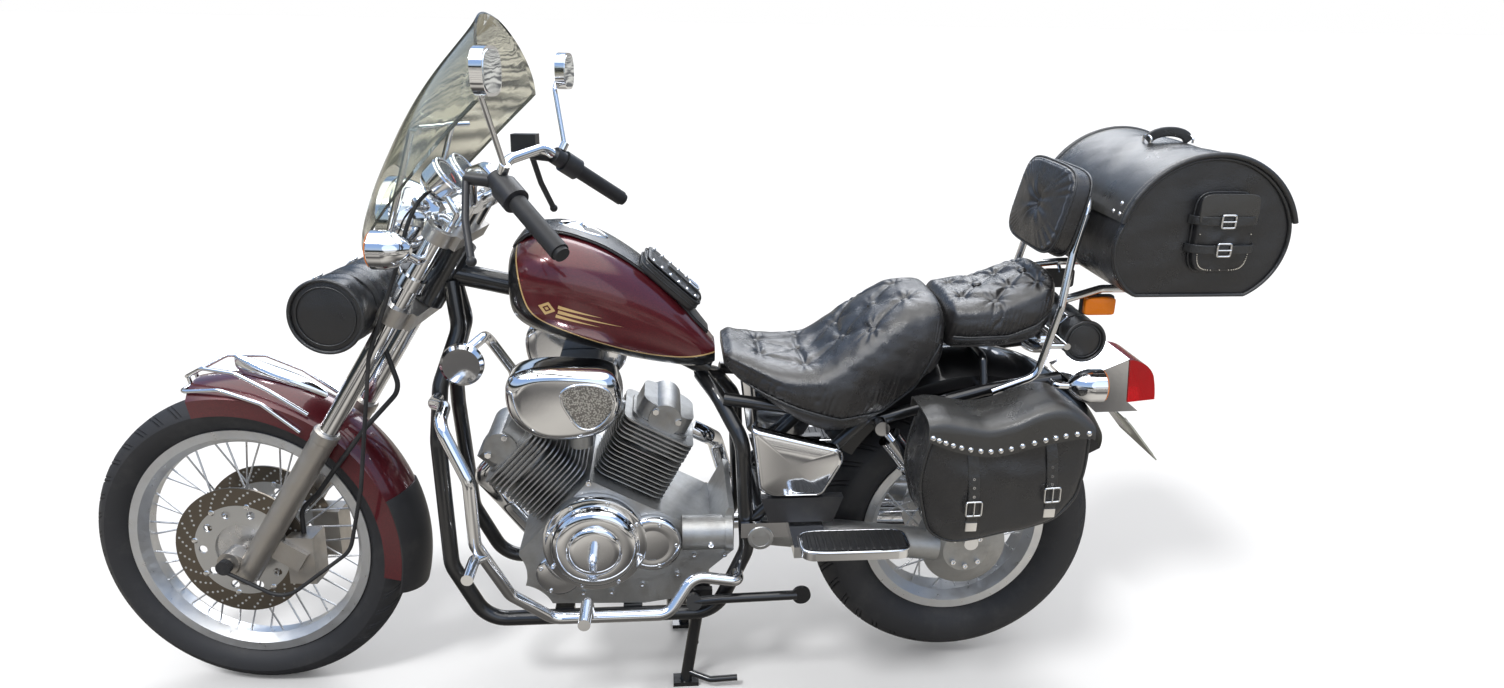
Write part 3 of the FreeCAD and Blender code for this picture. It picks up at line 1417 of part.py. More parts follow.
def make_seats():
    saddle = [(-128, 88, 742, 776), (-180, 112, 694, 764), (-250, 150, 640, 752), (-330, 165, 604, 764),
              (-410, 160, 602, 828), (-480, 150, 642, 872), (-540, 136, 700, 882), (-572, 120, 744, 872)]
    sections = [smooth_section(x, half, low, high, 3.2) for x, half, low, high in saddle]
    channel = Part.makeBox(520, 292, 300, Vector(-600, -146, 412))
    arch_half = float(d.rear_fender_half) + 3
    arch = Part.makeCylinder(float(d.rear_fender_radius) + 3, 2 * arch_half,
                             point(d.rear_fender_x, -arch_half, d.rear_fender_z), Y_AXIS)
    saddle_shape = Part.makeLoft(sections, True, False).cut(channel).cut(arch)
    node(feature("saddle_shape", saddle_shape), "rider_seat")
    pillion = [(-577, 112, 768, 874), (-620, 124, 770, 880), (-700, 128, 772, 896), (-760, 122, 790, 920),
               (-800, 100, 838, 934)]
    sections = [smooth_section(x, half, low, high, 3.2) for x, half, low, high in pillion]
    node(feature("pillion_shape", Part.makeLoft(sections, True, False)), "passenger_seat")


def make_side_covers():
    """A chrome cover under the saddle on each side."""
    cover = plate("side_cover_body", [
        (-178, 640),
        (-196, 498),
        (-226, 484),
        (-330, 484),
        (-372, 560),
        (-366, 590),
    ], cover_depth, centred=False)
    cover.Placement = FreeCAD.Placement(Vector(0, cover_half, 0), FreeCAD.Rotation())
    node(both_sides("side_covers_pair", cover), "side_covers")
    box = plate("side_box_body", [
        (-202, 482),
        (-218, 427),
        (-352, 427),
        (-372, 482),
    ], box_depth, centred=False)
    stay_outside = float(d.frame_half) + 12 + float(d.running_gap)
    box.Placement = FreeCAD.Placement(Vector(0, stay_outside + box_depth, 0), FreeCAD.Rotation())
    node(both_sides("side_boxes_pair", box), "side_boxes")


def make_backrest():
    """A thick pad in front of the sissy bar."""
    pad = Part.makeBox(52, 270, backrest_height, Vector(0, -135, 0))
    pad = pad.makeFillet(20, pad.Edges)
    item = feature("backrest_shape", pad)
    foot = Vector(backrest_foot[0], 0, backrest_foot[1])
    item.Placement = FreeCAD.Placement(foot, FreeCAD.Rotation(Y_AXIS, -backrest_lean))
    node(item, "backrest_pad")


backrest_foot = (-800, 968)
backrest_lean = 14
backrest_height = 176


def behind_backrest(up, side, radius):
    """A point behind the backrest pad, at a height along it."""
    turn = FreeCAD.Rotation(Y_AXIS, -backrest_lean)
    back = turn.multVec(Vector(-radius - float(d.running_gap), 0, up))
    return Vector(backrest_foot[0], side, backrest_foot[1]) + back


def make_rack():
    """A chrome sissy bar with its luggage rack and a hanger for the rear roll."""
    tube = float(d.rack_tube)
    half = float(d.rack_half)
    shelf = float(d.trunk_low_z - d.running_gap) - tube
    left = [Vector(-668, half, 704), Vector(-758, half, 738), Vector(-794, 140, 880),
            behind_backrest(20, 122, tube), behind_backrest(130, 112, tube)]
    right = [Vector(place.x, -place.y, place.z) for place in reversed(left)]
    parts = [bent_tube(left + right, tube, 36)]
    deck = [Vector(-796, 136, 893), Vector(-884, 112, shelf), Vector(-1160, 112, shelf)]
    parts.append(bent_tube(deck + [Vector(x.x, -x.y, x.z) for x in reversed(deck)], tube, 40))
    for x in (-930, -1030, -1100):
        parts.append(rod(Vector(x, -112, shelf), Vector(x, 112, shelf), 6))
    hanger = float(d.rear_roll_x + d.rear_roll_radius + d.running_gap) + 7
    for side in (1, -1):
        parts.append(rod(Vector(-776, 143.5 * side, 800), Vector(hanger, 143.5 * side, 800), 6))
    parts.append(rod(Vector(hanger, -151, 800), Vector(hanger, 151, 800), 7))
    node(feature("rack_shape", joined(parts)), "luggage_rack")


def trunk_profile(grow):
    """The trunk bag's end outline, grown outwards by a wall."""
    front, rear = float(d.trunk_front_x) + grow, float(d.trunk_rear_x) - grow
    low, top, seam = float(d.trunk_low_z) - grow, float(d.trunk_top_z) + grow, float(d.trunk_seam_z)
    middle = (front + rear) / 2
    edges = [
        Part.Arc(Vector(front, 0, seam), Vector(middle + 10, 0, top), Vector(rear, 0, seam)).toShape(),
        Part.Arc(Vector(rear, 0, seam), Vector(rear + 18, 0, low + 46), Vector(rear + 70, 0, low)).toShape(),
        Part.LineSegment(Vector(rear + 70, 0, low), Vector(front - 40, 0, low)).toShape(),
        Part.Arc(Vector(front - 40, 0, low), Vector(front - 10, 0, low + 24), Vector(front, 0, seam)).toShape(),
    ]
    return Part.Face(Part.Wire(edges))


def make_trunk():
    """A leather trunk bag: its box, and the lid that wraps over the top."""
    half = float(d.trunk_half)
    wall = float(d.leather_wall)
    solid = trunk_profile(0).extrude(Vector(0, 2 * half, 0))
    solid.translate(Vector(0, -half, 0))
    hollow = trunk_profile(-wall).extrude(Vector(0, 2 * (half - wall), 0))
    hollow.translate(Vector(0, wall - half, 0))
    above = Part.makeBox(600, 2 * (half - wall), 400, Vector(-1300, wall - half, float(d.trunk_seam_z)))
    shape = solid.cut(hollow).cut(above)
    node(feature("trunk_shape", shape), "trunk_bag")
    gap = float(d.running_gap)
    outer = trunk_profile(wall + gap).extrude(Vector(0, 2 * (half + 8), 0))
    outer.translate(Vector(0, -half - 8, 0))
    inner = trunk_profile(gap).extrude(Vector(0, 2 * (half + 10), 0))
    inner.translate(Vector(0, -half - 10, 0))
    keep = Part.makeBox(600, 2 * (half + 20), 400, Vector(-1400, -half - 20, float(d.trunk_seam_z)))
    node(feature("trunk_lid_shape", outer.cut(inner).common(keep)), "trunk_bag_lid")


def side_outline(corners):
    """A flat face seen from the side, with smooth corners cut by short arcs."""
    places = [Vector(x, 0, z) for x, z in corners]
    middle = (places[0] + places[-1]) * 0.5
    path = bent_path([middle] + places + [middle], 46)
    return Part.Face(Part.Wire(path.Edges))


def bag_outline():
    """The saddlebag's side view, from its top front corner down and round to its top rear corner."""
    front, rear = float(d.bag_front_x), float(d.bag_rear_x)
    low, top = float(d.bag_low_z), float(d.bag_top_z)
    return [(front - 22, top), (front, low + 106), (front - 18, low + 44), (front - 62, low), (front - 170, low + 18),
            (rear + 62, low + 34), (rear + 12, low + 82), (rear, low + 140), (rear, top)]


lid_top = [(-490, 720), (-520, 722), (-558, 714), (-604, 706), (-652, 718), (-704, 740), (-752, 741), (-806, 706)]
lid_low = [(-806, 684), (-757, 681), (-707, 672), (-639, 654), (-590, 653), (-542, 663), (-490, 684)]


def lid_prism(drop, start, end, inner, outer):
    """The space under the lid's wavy top, between two places along the bike and two across it."""
    top = Part.BSplineCurve()
    top.interpolate([Vector(x, 0, z - drop) for x, z in lid_top])
    low = Part.BSplineCurve()
    low.interpolate([Vector(x, 0, z - drop * 4) for x, z in lid_low])
    wire = Part.Wire([top.toShape(), Part.LineSegment(top.EndPoint, low.StartPoint).toShape(), low.toShape(),
                      Part.LineSegment(low.EndPoint, top.StartPoint).toShape()])
    solid = Part.Face(wire).extrude(Vector(0, outer - inner, 0))
    solid.translate(Vector(0, inner, 0))
    return solid.common(Part.makeBox(start - end, 400, 400, Vector(end, inner - 20, 500)))


def make_saddlebags():
    """A leather bag with a wavy drop-over lid on each side."""
    inner, outer = float(d.bag_inner), float(d.bag_outer)
    top, wall, gap = float(d.bag_top_z), float(d.leather_wall), float(d.running_gap)
    face = side_outline(bag_outline())
    shell = face.extrude(Vector(0, outer - inner, 0))
    shell.translate(Vector(0, inner, 0))
    hollow = face.makeOffset2D(-wall).extrude(Vector(0, outer - inner - 2 * wall, 0))
    hollow.translate(Vector(0, inner + wall, 0))
    mouth_front = float(d.bag_front_x) - 22 - wall - 2
    mouth_rear = float(d.bag_rear_x) + wall
    mouth = Part.makeBox(mouth_front - mouth_rear, outer - inner - 2 * wall, 60,
                         Vector(mouth_rear, inner + wall, top - 14))
    bag = shell.cut(hollow.fuse(mouth))
    node(feature("bag_left_shape", bag), "saddlebag_left")
    node(feature("bag_right_shape", flip(bag)), "saddlebag_right")
    front, rear = lid_top[0][0], lid_top[-1][0]
    cover = lid_prism(0, front, rear, inner, outer + gap + wall)
    room = lid_prism(wall, front - wall, rear + wall, inner - 8, outer + gap)
    lid = cover.cut(room)
    node(feature("lid_left_shape", lid), "saddlebag_left_lid")
    node(feature("lid_right_shape", flip(lid)), "saddlebag_right_lid")


# Small pieces on the frame


def make_guards():
    """A chrome guard tube with foot pegs on each side."""
    tube = bent_tube([guard_top, guard_top + Vector(0, 36, 4), point(404, 200, 714), point(404, 258, 702),
                      point(352, 290, 600), point(350, 292, 470), point(300, 246, 330), point(222, 216, 251),
                      point(-10, 216, 251), point(-62, 188, 322), point(guard_low.x, 178, guard_low.z), guard_low],
                     12, 40)
    peg = bent_tube([point(150, 218, 258), point(150, 250, 310), point(150, 338, 316)], 12, 24)
    rest = bent_tube([point(338, 284, 440), point(352, 300, 442), point(352, 372, 444)], 11, 10)
    one = joined([tube, peg, rest])
    node(feature("guards_shape", Part.makeCompound([one, flip(one)])), "engine_guards")


def make_floorboards():
    """A rubber-topped board for the passenger's feet on each side."""
    board = Part.makeBox(216, 86, 16, Vector(-486, 216, 418))
    uprights = [edge for edge in board.Edges if abs(edge.tangentAt(edge.FirstParameter).z) > 0.9]
    board = board.makeFillet(26, uprights)
    bracket = Part.makeBox(70, 110, 24, Vector(-330, 145, 398))
    plate_inside = float(d.frame_half + d.frame_tube) + 2.5
    arm = Part.makeBox(168, 8, 34, Vector(-330, plate_inside, 388))
    boss = Part.makeCylinder(12, 3, point(d.pivot_x + 26, d.frame_half + d.frame_tube + d.running_gap, 405), Y_AXIS)
    one = joined([board, bracket, arm, boss])
    node(feature("floorboards_shape", Part.makeCompound([one, flip(one)])), "floorboards")


def make_tail():
    """A chrome lamp housing on the rear fender, the red lens behind it, and the blank plate below."""
    gap = float(d.running_gap)
    housing = plate("tail_housing_body", [
        (-868, 690),
        (-934, 712),
        (-994, 738),
        (-1002, 640),
        (-1030, 618),
        (-900, 616),
    ], 118)
    crest = feature("fender_room", Part.makeCylinder(
        float(d.rear_fender_radius) + gap, 200, point(d.rear_fender_x, -100, d.rear_fender_z), Y_AXIS))
    slant = FreeCAD.Placement(Vector(-1000, 0, 604), FreeCAD.Rotation(Y_AXIS, 40))
    tongue = feature("plate_tongue", Part.makeBox(5, 80, 82, Vector(3 + gap, -40, -60)))
    tongue.Placement = slant
    whole = fuse("tail_housing_whole", [cut("tail_housing_cut", housing, crest), tongue])
    node(whole, "tail_housing")
    lens = plate("tail_lens_body", [
        (-994.4, 737),
        (-1030, 726, 70),
        (-1052, 700, 60),
        (-1062, 646, 240),
        (-1002.4, 640),
    ], 124)
    node(lens, "tail_light")
    board = Part.makeBox(3, 180, 116, Vector(0, -90, -116))
    item = feature("plate_shape", board)
    item.Placement = slant
    node(item, "number_plate")


def make_rear_signals():
    lamp = make_signal("rear_signal_body")
    lamp.Placement = FreeCAD.Placement(point(d.rear_signal_x, d.rear_signal_half, d.rear_signal_z),
                                       FreeCAD.Rotation(Y_AXIS, -90))
    half = float(d.rear_signal_half)
    stalk = feature("rear_signal_stalk", bent_tube([
        point(-796, 132.5, 719), point(-796, half, 719), point(-842, half, d.rear_signal_z)], 7, 12))
    whole = fuse("rear_signal_whole", [lamp, stalk])
    node(both_sides("rear_signals_pair", whole), "rear_turn_signals")


def make_rear_roll():
    """A small leather roll behind the seat."""
    roll = cylinder("rear_roll_bar", d.rear_roll_radius, 240, (d.rear_roll_x, -120, d.rear_roll_z), Y_AXIS)
    node(roll, "rear_tool_roll")


def make_stands():
    """The centre stand that holds the bike, and the folded side stand."""
    pivot = point(d.stand_pivot_x, 0, d.stand_pivot_z)
    radius = float(d.stand_tube)
    parts = []
    half = float(d.stand_half)
    for side in (1, -1):
        leg = rod(Vector(pivot.x, 82 * side, pivot.z), point(d.stand_foot_x, half * side, 8), radius)
        foot = Part.makeBox(56, 34, 10, point(d.stand_foot_x - 28, half * side - 17, 0))
        parts += [leg, foot]
    parts.append(rod(Vector(pivot.x, -104, pivot.z), Vector(pivot.x, 104, pivot.z), radius + 5))
    middle = Vector((pivot.x + float(d.stand_foot_x)) / 2, 0, float(d.stand_pivot_z) * 0.42)
    parts.append(rod(Vector(middle.x, -102, middle.z), Vector(middle.x, 102, middle.z), 10))
    tang = bent_tube([point(d.stand_foot_x, half, 30), point(-100, 132, 22), point(-160, 134, 26)], 7, 20)
    parts.append(tang)
    bore = Part.makeCylinder(float(d.pin_radius + d.running_gap), 400, Vector(pivot.x, -200, pivot.z), Y_AXIS)
    node(feature("centre_stand_shape", joined(parts).cut(bore)), "centre_stand")
    root = side_stand_pivot + side_stand_axis * 10
    tip = root + Vector(-218, 0, 8)
    leg = bent_tube([root, root + Vector(-60, 2, 6), tip], 10, 40)
    foot = Part.makeCylinder(20, 8, tip + Vector(-10, -4, 0), Y_AXIS)
    boss = Part.makeCylinder(17, 20, side_stand_pivot, side_stand_axis)
    node(feature("side_stand_shape", joined([leg, foot, boss])), "side_stand")


make_front_wheel()
make_rear_wheel()
make_fork()
make_calipers()
make_handlebar()
make_hand_controls()
make_mirrors()
make_headlight()
make_gauges()
make_screen()
make_screen_mounts()
make_front_signals()
make_front_roll()
make_front_fender()
make_mudflap()
make_fender_trim()
make_control_lines()
make_frame()
make_crankcase()
make_cylinder("front_cylinder", d.front_lean)
make_cylinder("rear_cylinder", d.rear_lean)
make_engine_covers()
make_air_cleaners()
make_carburettors()
make_horn()
make_exhaust()
make_swingarm()
make_shocks()
make_rear_fender()
make_tank()
make_tank_bib()
make_seats()
make_side_covers()
make_backrest()
make_rack()
make_trunk()
make_saddlebags()
make_guards()
make_floorboards()
make_tail()
make_rear_signals()
make_rear_roll()
make_stands()

doc.recompute()
for item in doc.Objects:
    if "Invalid" in item.State or "Error" in item.State:
        raise RuntimeError(f"{item.Label} failed: {item.State}")
for item in nodes:
    if item.Shape.isNull() or not item.Shape.isValid():
        raise RuntimeError(f"{item.Label} has no valid shape")

os.makedirs("parts", exist_ok=True)
for item in nodes:
    item.Shape.exportStep(f"parts/{item.Label}.step")
    print(item.Label, "solids", len(item.Shape.Solids), "volume", round(item.Shape.Volume / 1000), "cm3")
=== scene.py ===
# %% [markdown]
# # A cruiser motorcycle on its centre stand
#
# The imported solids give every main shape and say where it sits. This notebook dresses them: each
# metal, leather and rubber gets its own procedural finish, and the parts that give a touring bike
# its character, such as stitched leather, studs, tread and lamp glass, are worked out as surfaces.

# %% Load the frame
import functools
import math

import bpy
import numpy as np
from mathutils import Matrix, Vector


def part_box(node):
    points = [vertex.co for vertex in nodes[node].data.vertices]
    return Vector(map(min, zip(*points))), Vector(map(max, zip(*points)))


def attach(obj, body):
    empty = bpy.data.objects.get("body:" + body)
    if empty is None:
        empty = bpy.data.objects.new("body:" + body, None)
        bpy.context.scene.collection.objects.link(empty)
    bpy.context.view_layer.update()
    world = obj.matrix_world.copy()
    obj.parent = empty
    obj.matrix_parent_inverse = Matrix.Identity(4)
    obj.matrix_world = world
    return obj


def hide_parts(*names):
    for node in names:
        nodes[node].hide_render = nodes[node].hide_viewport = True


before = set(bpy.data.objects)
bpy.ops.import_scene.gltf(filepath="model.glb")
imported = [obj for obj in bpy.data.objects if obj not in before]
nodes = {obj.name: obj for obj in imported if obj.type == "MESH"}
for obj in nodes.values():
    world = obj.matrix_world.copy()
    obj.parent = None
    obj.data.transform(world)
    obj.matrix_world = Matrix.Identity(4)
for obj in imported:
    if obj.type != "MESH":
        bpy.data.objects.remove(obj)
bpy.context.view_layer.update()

# %% [markdown]
# ## The camera
# The photograph was taken standing beside the bike with a wide lens. The place, the three angles
# and the focal length were fitted to the outlines of both tyres and rims. A camera looks along its
# own -Z, so its matrix holds the right, up and backward directions as columns.

# %% Camera
EYE = Vector((-0.0145, 1.950, 1.436))
YAW, PITCH, ROLL = (math.radians(angle) for angle in (-5.20, -19.00, -1.02))
FOCAL_PIXELS = 982.7
IMAGE_WIDTH = 1504

ahead, right, up = Vector((0, -1, 0)), Vector((-1, 0, 0)), Vector((0, 0, 1))
turn = Matrix.Rotation(YAW, 3, up)
ahead, right = turn @ ahead, turn @ right
turn = Matrix.Rotation(PITCH, 3, right)
ahead, up = turn @ ahead, turn @ up
turn = Matrix.Rotation(ROLL, 3, ahead)
right, up = turn @ right, turn @ up

lens = bpy.data.cameras.new("camera")
lens.sensor_width = 36
lens.lens = FOCAL_PIXELS / IMAGE_WIDTH * lens.sensor_width
lens.clip_start = 0.05
camera = bpy.data.objects.new("camera", lens)
camera.matrix_world = Matrix((
    (right.x, up.x, -ahead.x, EYE.x),
    (right.y, up.y, -ahead.y, EYE.y),
    (right.z, up.z, -ahead.z, EYE.z),
    (0, 0, 0, 1),
))
bpy.context.scene.collection.objects.link(camera)
bpy.context.scene.camera = camera
print("lens", round(lens.lens, 2), "mm")

# %% [markdown]
# ## Finishes
# Every finish is a small network of nodes. Two helpers keep the cells short: `node` adds a node and
# fills or links its sockets, and `finish` starts a material around one Principled shader.
# Numbers that are the same all over the surface go straight on the shader's sockets.

# %% Helpers for finishes
def node(material, kind, settings=None, **inputs):
    """Add a node; each input is a value or the output socket of another node."""
    item = material.node_tree.nodes.new(kind)
    for name, value in (settings or {}).items():
        setattr(item, name, value)
    for name, value in inputs.items():
        socket = item.inputs[name.replace("_", " ")]
        if isinstance(value, bpy.types.NodeSocket):
            material.node_tree.links.new(value, socket)
        else:
            socket.default_value = value
    return item


def finish(name, color, metallic=0.0, *, roughness, **shader):
    """Start a material with one Principled shader and the object's own coordinates."""
    material = bpy.data.materials.new(name)
    material.use_nodes = True
    surface = material.node_tree.nodes["Principled BSDF"]
    surface.inputs["Base Color"].default_value = (*color, 1)
    surface.inputs["Metallic"].default_value = metallic
    surface.inputs["Roughness"].default_value = roughness
    for socket, value in shader.items():
        surface.inputs[socket.replace("_", " ")].default_value = value
    place = node(material, "ShaderNodeTexCoord").outputs["Object"]
    return material, surface, place


def link(material, output, surface, socket):
    """Join an output to a socket of the shader."""
    material.node_tree.links.new(output, surface.inputs[socket])


def noise(material, place, scale, detail, roughness=0.55):
    """Cloudy noise at a scale in turns per metre."""
    return node(material, "ShaderNodeTexNoise", Vector=place, Scale=scale, Detail=detail,
                Roughness=roughness).outputs["Fac"]


def spread(material, value, low, high, start=0.3, end=0.7):
    """Map a value between start and end to the range from low to high."""
    return node(material, "ShaderNodeMapRange", Value=value, From_Min=start, From_Max=end,
                To_Min=low, To_Max=high).outputs["Result"]


def blend_colors(material, share, first, second):
    """Mix two colours by a share."""
    mix = material.node_tree.nodes.new("ShaderNodeMix")
    mix.data_type = "RGBA"
    material.node_tree.links.new(share, mix.inputs["Factor"])
    for socket, color in ((mix.inputs[6], first), (mix.inputs[7], second)):
        if isinstance(color, bpy.types.NodeSocket):
            material.node_tree.links.new(color, socket)
        else:
            socket.default_value = (*color, 1)
    return mix.outputs[2]


def relief(material, surface, height, distance, strength):
    """Raise the surface by a height map, in metres."""
    bump = node(material, "ShaderNodeBump", Height=height, Distance=distance, Strength=strength)
    link(material, bump.outputs["Normal"], surface, "Normal")
    return bump


# %% [markdown]
# Chrome is a mirror with faint smears, so only its roughness varies. Cast and satin alloys are
# rougher, and their grain is a fine bump. Paint is a coloured base under a clear coat.

# %% Metal finishes
DIRT, DUST = (0.16, 0.14, 0.12), (0.10, 0.095, 0.085)


def chrome_finish(name, tint, low, high):
    """Polished metal whose roughness drifts between low and high."""
    material, surface, place = finish(name, tint, metallic=1.0, roughness=low)
    smears = noise(material, place, 14, 6)
    link(material, spread(material, smears, low, high), surface, "Roughness")
    relief(material, surface, noise(material, place, 35, 2), 0.0004, 0.15)
    return material


def alloy_finish(name, color, rough, grain, depth, share=0.35):
    """Cast or satin metal: grain in the bump, and dull stains that follow slow noise."""
    material, surface, place = finish(name, color, metallic=0.92, roughness=rough)
    stains = spread(material, noise(material, place, 9, 8, 0.7), 0.0, share, 0.45, 0.8)
    link(material, blend_colors(material, stains, color, DIRT), surface, "Base Color")
    link(material, spread(material, noise(material, place, 60, 5), rough - 0.08, rough + 0.14),
         surface, "Roughness")
    relief(material, surface, noise(material, place, grain, 4), depth, 0.5)
    return material


def pebbled_finish(name, color):
    """A pressed plate: cells make the pebbles, and the gaps between them get a darker colour,
    painted shade in the hollows.
    """
    material, surface, place = finish(name, color, metallic=0.95, roughness=0.32)
    cells = node(material, "ShaderNodeTexVoronoi", {"feature": "SMOOTH_F1"}, Vector=place,
                 Scale=300.0, Smoothness=0.3).outputs["Distance"]
    # painted shade: the low gaps between the pebbles get a darker base colour
    share = spread(material, cells, 0.0, 0.9, 0.36, 0.60)
    link(material, blend_colors(material, share, color, (0.22, 0.21, 0.20)), surface, "Base Color")
    relief(material, surface, spread(material, cells, 1.0, 0.0, 0.1, 0.7), 0.0006, 0.5)
    return material


def paint_finish(name, color, flake, rough=0.28, pattern=None):
    """Gloss paint: metal flake, and perhaps a pattern, under a clear coat."""
    material, surface, place = finish(name, color, metallic=0.35, roughness=rough, Coat_Weight=1.0,
                                      Coat_Roughness=0.03)
    flakes = node(material, "ShaderNodeTexVoronoi", Vector=place, Scale=2600.0).outputs["Color"]
    split = node(material, "ShaderNodeSeparateColor", Color=flakes).outputs["Red"]
    share = spread(material, split, 0.0, 0.65, 0.5, 1.0)
    base = blend_colors(material, share, color, flake)
    link(material, pattern(material, place, base) if pattern else base, surface, "Base Color")
    return material


CHROME = chrome_finish("chrome", (0.88, 0.89, 0.91), 0.035, 0.11)
SPOKE_METAL = alloy_finish("spoke_metal", (0.72, 0.72, 0.72), 0.28, 300, 0.0002)
RIM_ALLOY = alloy_finish("rim_alloy", (0.74, 0.75, 0.76), 0.34, 500, 0.0002, share=0.18)
FORK_ALLOY = alloy_finish("fork_alloy", (0.50, 0.47, 0.43), 0.36, 700, 0.0003, share=0.2)
CAST_ALLOY = alloy_finish("cast_alloy", (0.46, 0.46, 0.45), 0.42, 420, 0.0008, share=0.6)
MAROON = paint_finish("maroon_paint", (0.052, 0.0035, 0.008), (0.22, 0.02, 0.025))
BLACK_PAINT = paint_finish("black_paint", (0.010, 0.010, 0.011), (0.03, 0.03, 0.03), 0.32)
# the pebbled plate's dark gaps are painted shade
PEBBLED_METAL_PAINTED_SHADE = pebbled_finish("pebbled_metal_painted_shade", (0.70, 0.69, 0.66))
DISC_HOLE = alloy_finish("disc_hole", (0.75, 0.75, 0.73), 0.5, 900, 0.0001)
STUD_CHROME = chrome_finish("stud_chrome", (0.90, 0.90, 0.90), 0.06, 0.16)
SATIN_METAL = alloy_finish("satin_metal", (0.55, 0.55, 0.54), 0.34, 800, 0.0002, share=0.15)
print("metal finishes made")

# %% [markdown]
# The tank is maroon with a black foot, and a fine gold line parts the two. In side view the line is
# a cubic under the panel and another in front of it, joined by a rounded corner. The mark on each
# side is a plain gold lozenge with three tapering bars behind it. A brake disc has a dark swept
# ring round a bright middle, split by the distance from the hub.

# %% Tank and disc finishes
PANEL_LOW = [(-0.102, 0.7605), (-0.079, 0.757), (0.020, 0.774), (0.116, 0.807), (0.219, 0.852),
             (0.262, 0.872)]
PANEL_FRONT = [(0.840, 0.243), (0.880, 0.254), (0.919, 0.2635), (0.977, 0.2735), (1.010, 0.276)]
GOLD, TANK_BLACK = (0.62, 0.43, 0.19), (0.010, 0.010, 0.011)
LINE_HALF, CORNER_SOFTNESS = 0.0015, 0.045
MARK_MIDDLE, MARK_ANGLE = (0.214, 0.884), math.radians(17)
MARK_HALF_LENGTH, MARK_HALF_HEIGHT, BAR_WIDTH = 0.017, 0.014, 0.0034
MARK_BARS = [(0.0095, 0.020, 0.108), (0.0, 0.022, 0.150), (-0.0095, 0.020, 0.108)]


def calculate(material, operation, *values):
    """A Math node on numbers or sockets."""
    item = node(material, "ShaderNodeMath", {"operation": operation})
    for socket, value in zip(item.inputs, values):
        if isinstance(value, bpy.types.NodeSocket):
            material.node_tree.links.new(value, socket)
        else:
            socket.default_value = value
    return item.outputs[0]


def cubic(material, value, places):
    """The cubic closest to pairs of input and height, as nested products and sums."""
    factors = np.polyfit(*np.array(places).T, 3)
    total = calculate(material, "MULTIPLY_ADD", value, float(factors[0]), float(factors[1]))
    for factor in factors[2:]:
        total = calculate(material, "MULTIPLY_ADD", total, value, float(factor))
    return total


def tank_pattern(material, place, base):
    """Black outside the panel's edge, gold along it, and the gold mark inside."""
    calc = functools.partial(calculate, material)
    split = node(material, "ShaderNodeSeparateXYZ", Vector=place)
    x, z = split.outputs["X"], split.outputs["Z"]
    above = calc("SUBTRACT", z, cubic(material, x, PANEL_LOW))
    behind = calc("SUBTRACT", cubic(material, z, PANEL_FRONT), x)
    inside = calc("SMOOTH_MIN", above, behind, CORNER_SOFTNESS)
    color = blend_colors(material, calc("LESS_THAN", inside, 0.0), base, TANK_BLACK)
    color = blend_colors(material, calc("COMPARE", inside, 0.0, LINE_HALF), color, GOLD)
    ahead = calc("SUBTRACT", MARK_MIDDLE[0], x)
    rise = calc("SUBTRACT", z, MARK_MIDDLE[1])
    cos, sin = math.cos(MARK_ANGLE), math.sin(MARK_ANGLE)
    along = calc("SUBTRACT", calc("MULTIPLY", ahead, cos), calc("MULTIPLY", rise, sin))
    up = calc("ADD", calc("MULTIPLY", ahead, sin), calc("MULTIPLY", rise, cos))
    wide = calc("MULTIPLY", calc("ABSOLUTE", along), 1 / MARK_HALF_LENGTH)
    tall = calc("MULTIPLY", calc("ABSOLUTE", up), 1 / MARK_HALF_HEIGHT)
    reach = calc("ADD", wide, tall)
    mark = calc("COMPARE", reach, 0.76, 0.24)
    mark = calc("MAXIMUM", mark, calc("LESS_THAN", reach, 0.26))
    for height, start, end in MARK_BARS:
        width = spread(material, along, BAR_WIDTH, 0.0, start, end)
        near = calc("LESS_THAN", calc("ABSOLUTE", calc("SUBTRACT", up, height)), width)
        mark = calc("MAXIMUM", mark, calc("MULTIPLY", near, calc("GREATER_THAN", along, start)))
    return blend_colors(material, mark, color, GOLD)


def disc_finish(name, split_at):
    """Swept steel outside a distance from the hub's middle, and bright metal inside it."""
    material, surface, place = finish(name, (0.6, 0.6, 0.6), metallic=0.9, roughness=0.3)
    middle = sum(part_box("front_discs"), Vector()) / 2
    away = node(material, "ShaderNodeVectorMath", {"operation": "DISTANCE"})
    material.node_tree.links.new(place, away.inputs[0])
    away.inputs[1].default_value = middle
    share = calculate(material, "GREATER_THAN", away.outputs["Value"], split_at)
    link(material, blend_colors(material, share, (0.62, 0.62, 0.61), (0.17, 0.145, 0.115)), surface,
         "Base Color")
    relief(material, surface, noise(material, place, 500, 3), 0.0002, 0.4)
    return material


TANK_PAINT = paint_finish("tank_paint", (0.060, 0.004, 0.009), (0.26, 0.025, 0.03),
                          pattern=tank_pattern)
DISC_STEEL = disc_finish("disc_steel", math.hypot(0.103, 0.059))
print("tank and disc finishes made")

# %% [markdown]
# Rubber and moulded plastic are dark and nearly matt, with a fine skin. Leather has two scales of
# relief: pebbled grain from cells, and slow soft wrinkles.

# %% Rubber, plastic and leather finishes
def rubber_finish(name, color, rough, grain):
    """Dark rubber with dusty patches and a fine skin."""
    material, surface, place = finish(name, color, roughness=rough)
    dust = spread(material, noise(material, place, 12, 7, 0.7), 0.0, 0.30, 0.5, 0.85)
    link(material, blend_colors(material, dust, color, DUST), surface, "Base Color")
    relief(material, surface, noise(material, place, grain, 3), 0.0004, 0.4)
    return material


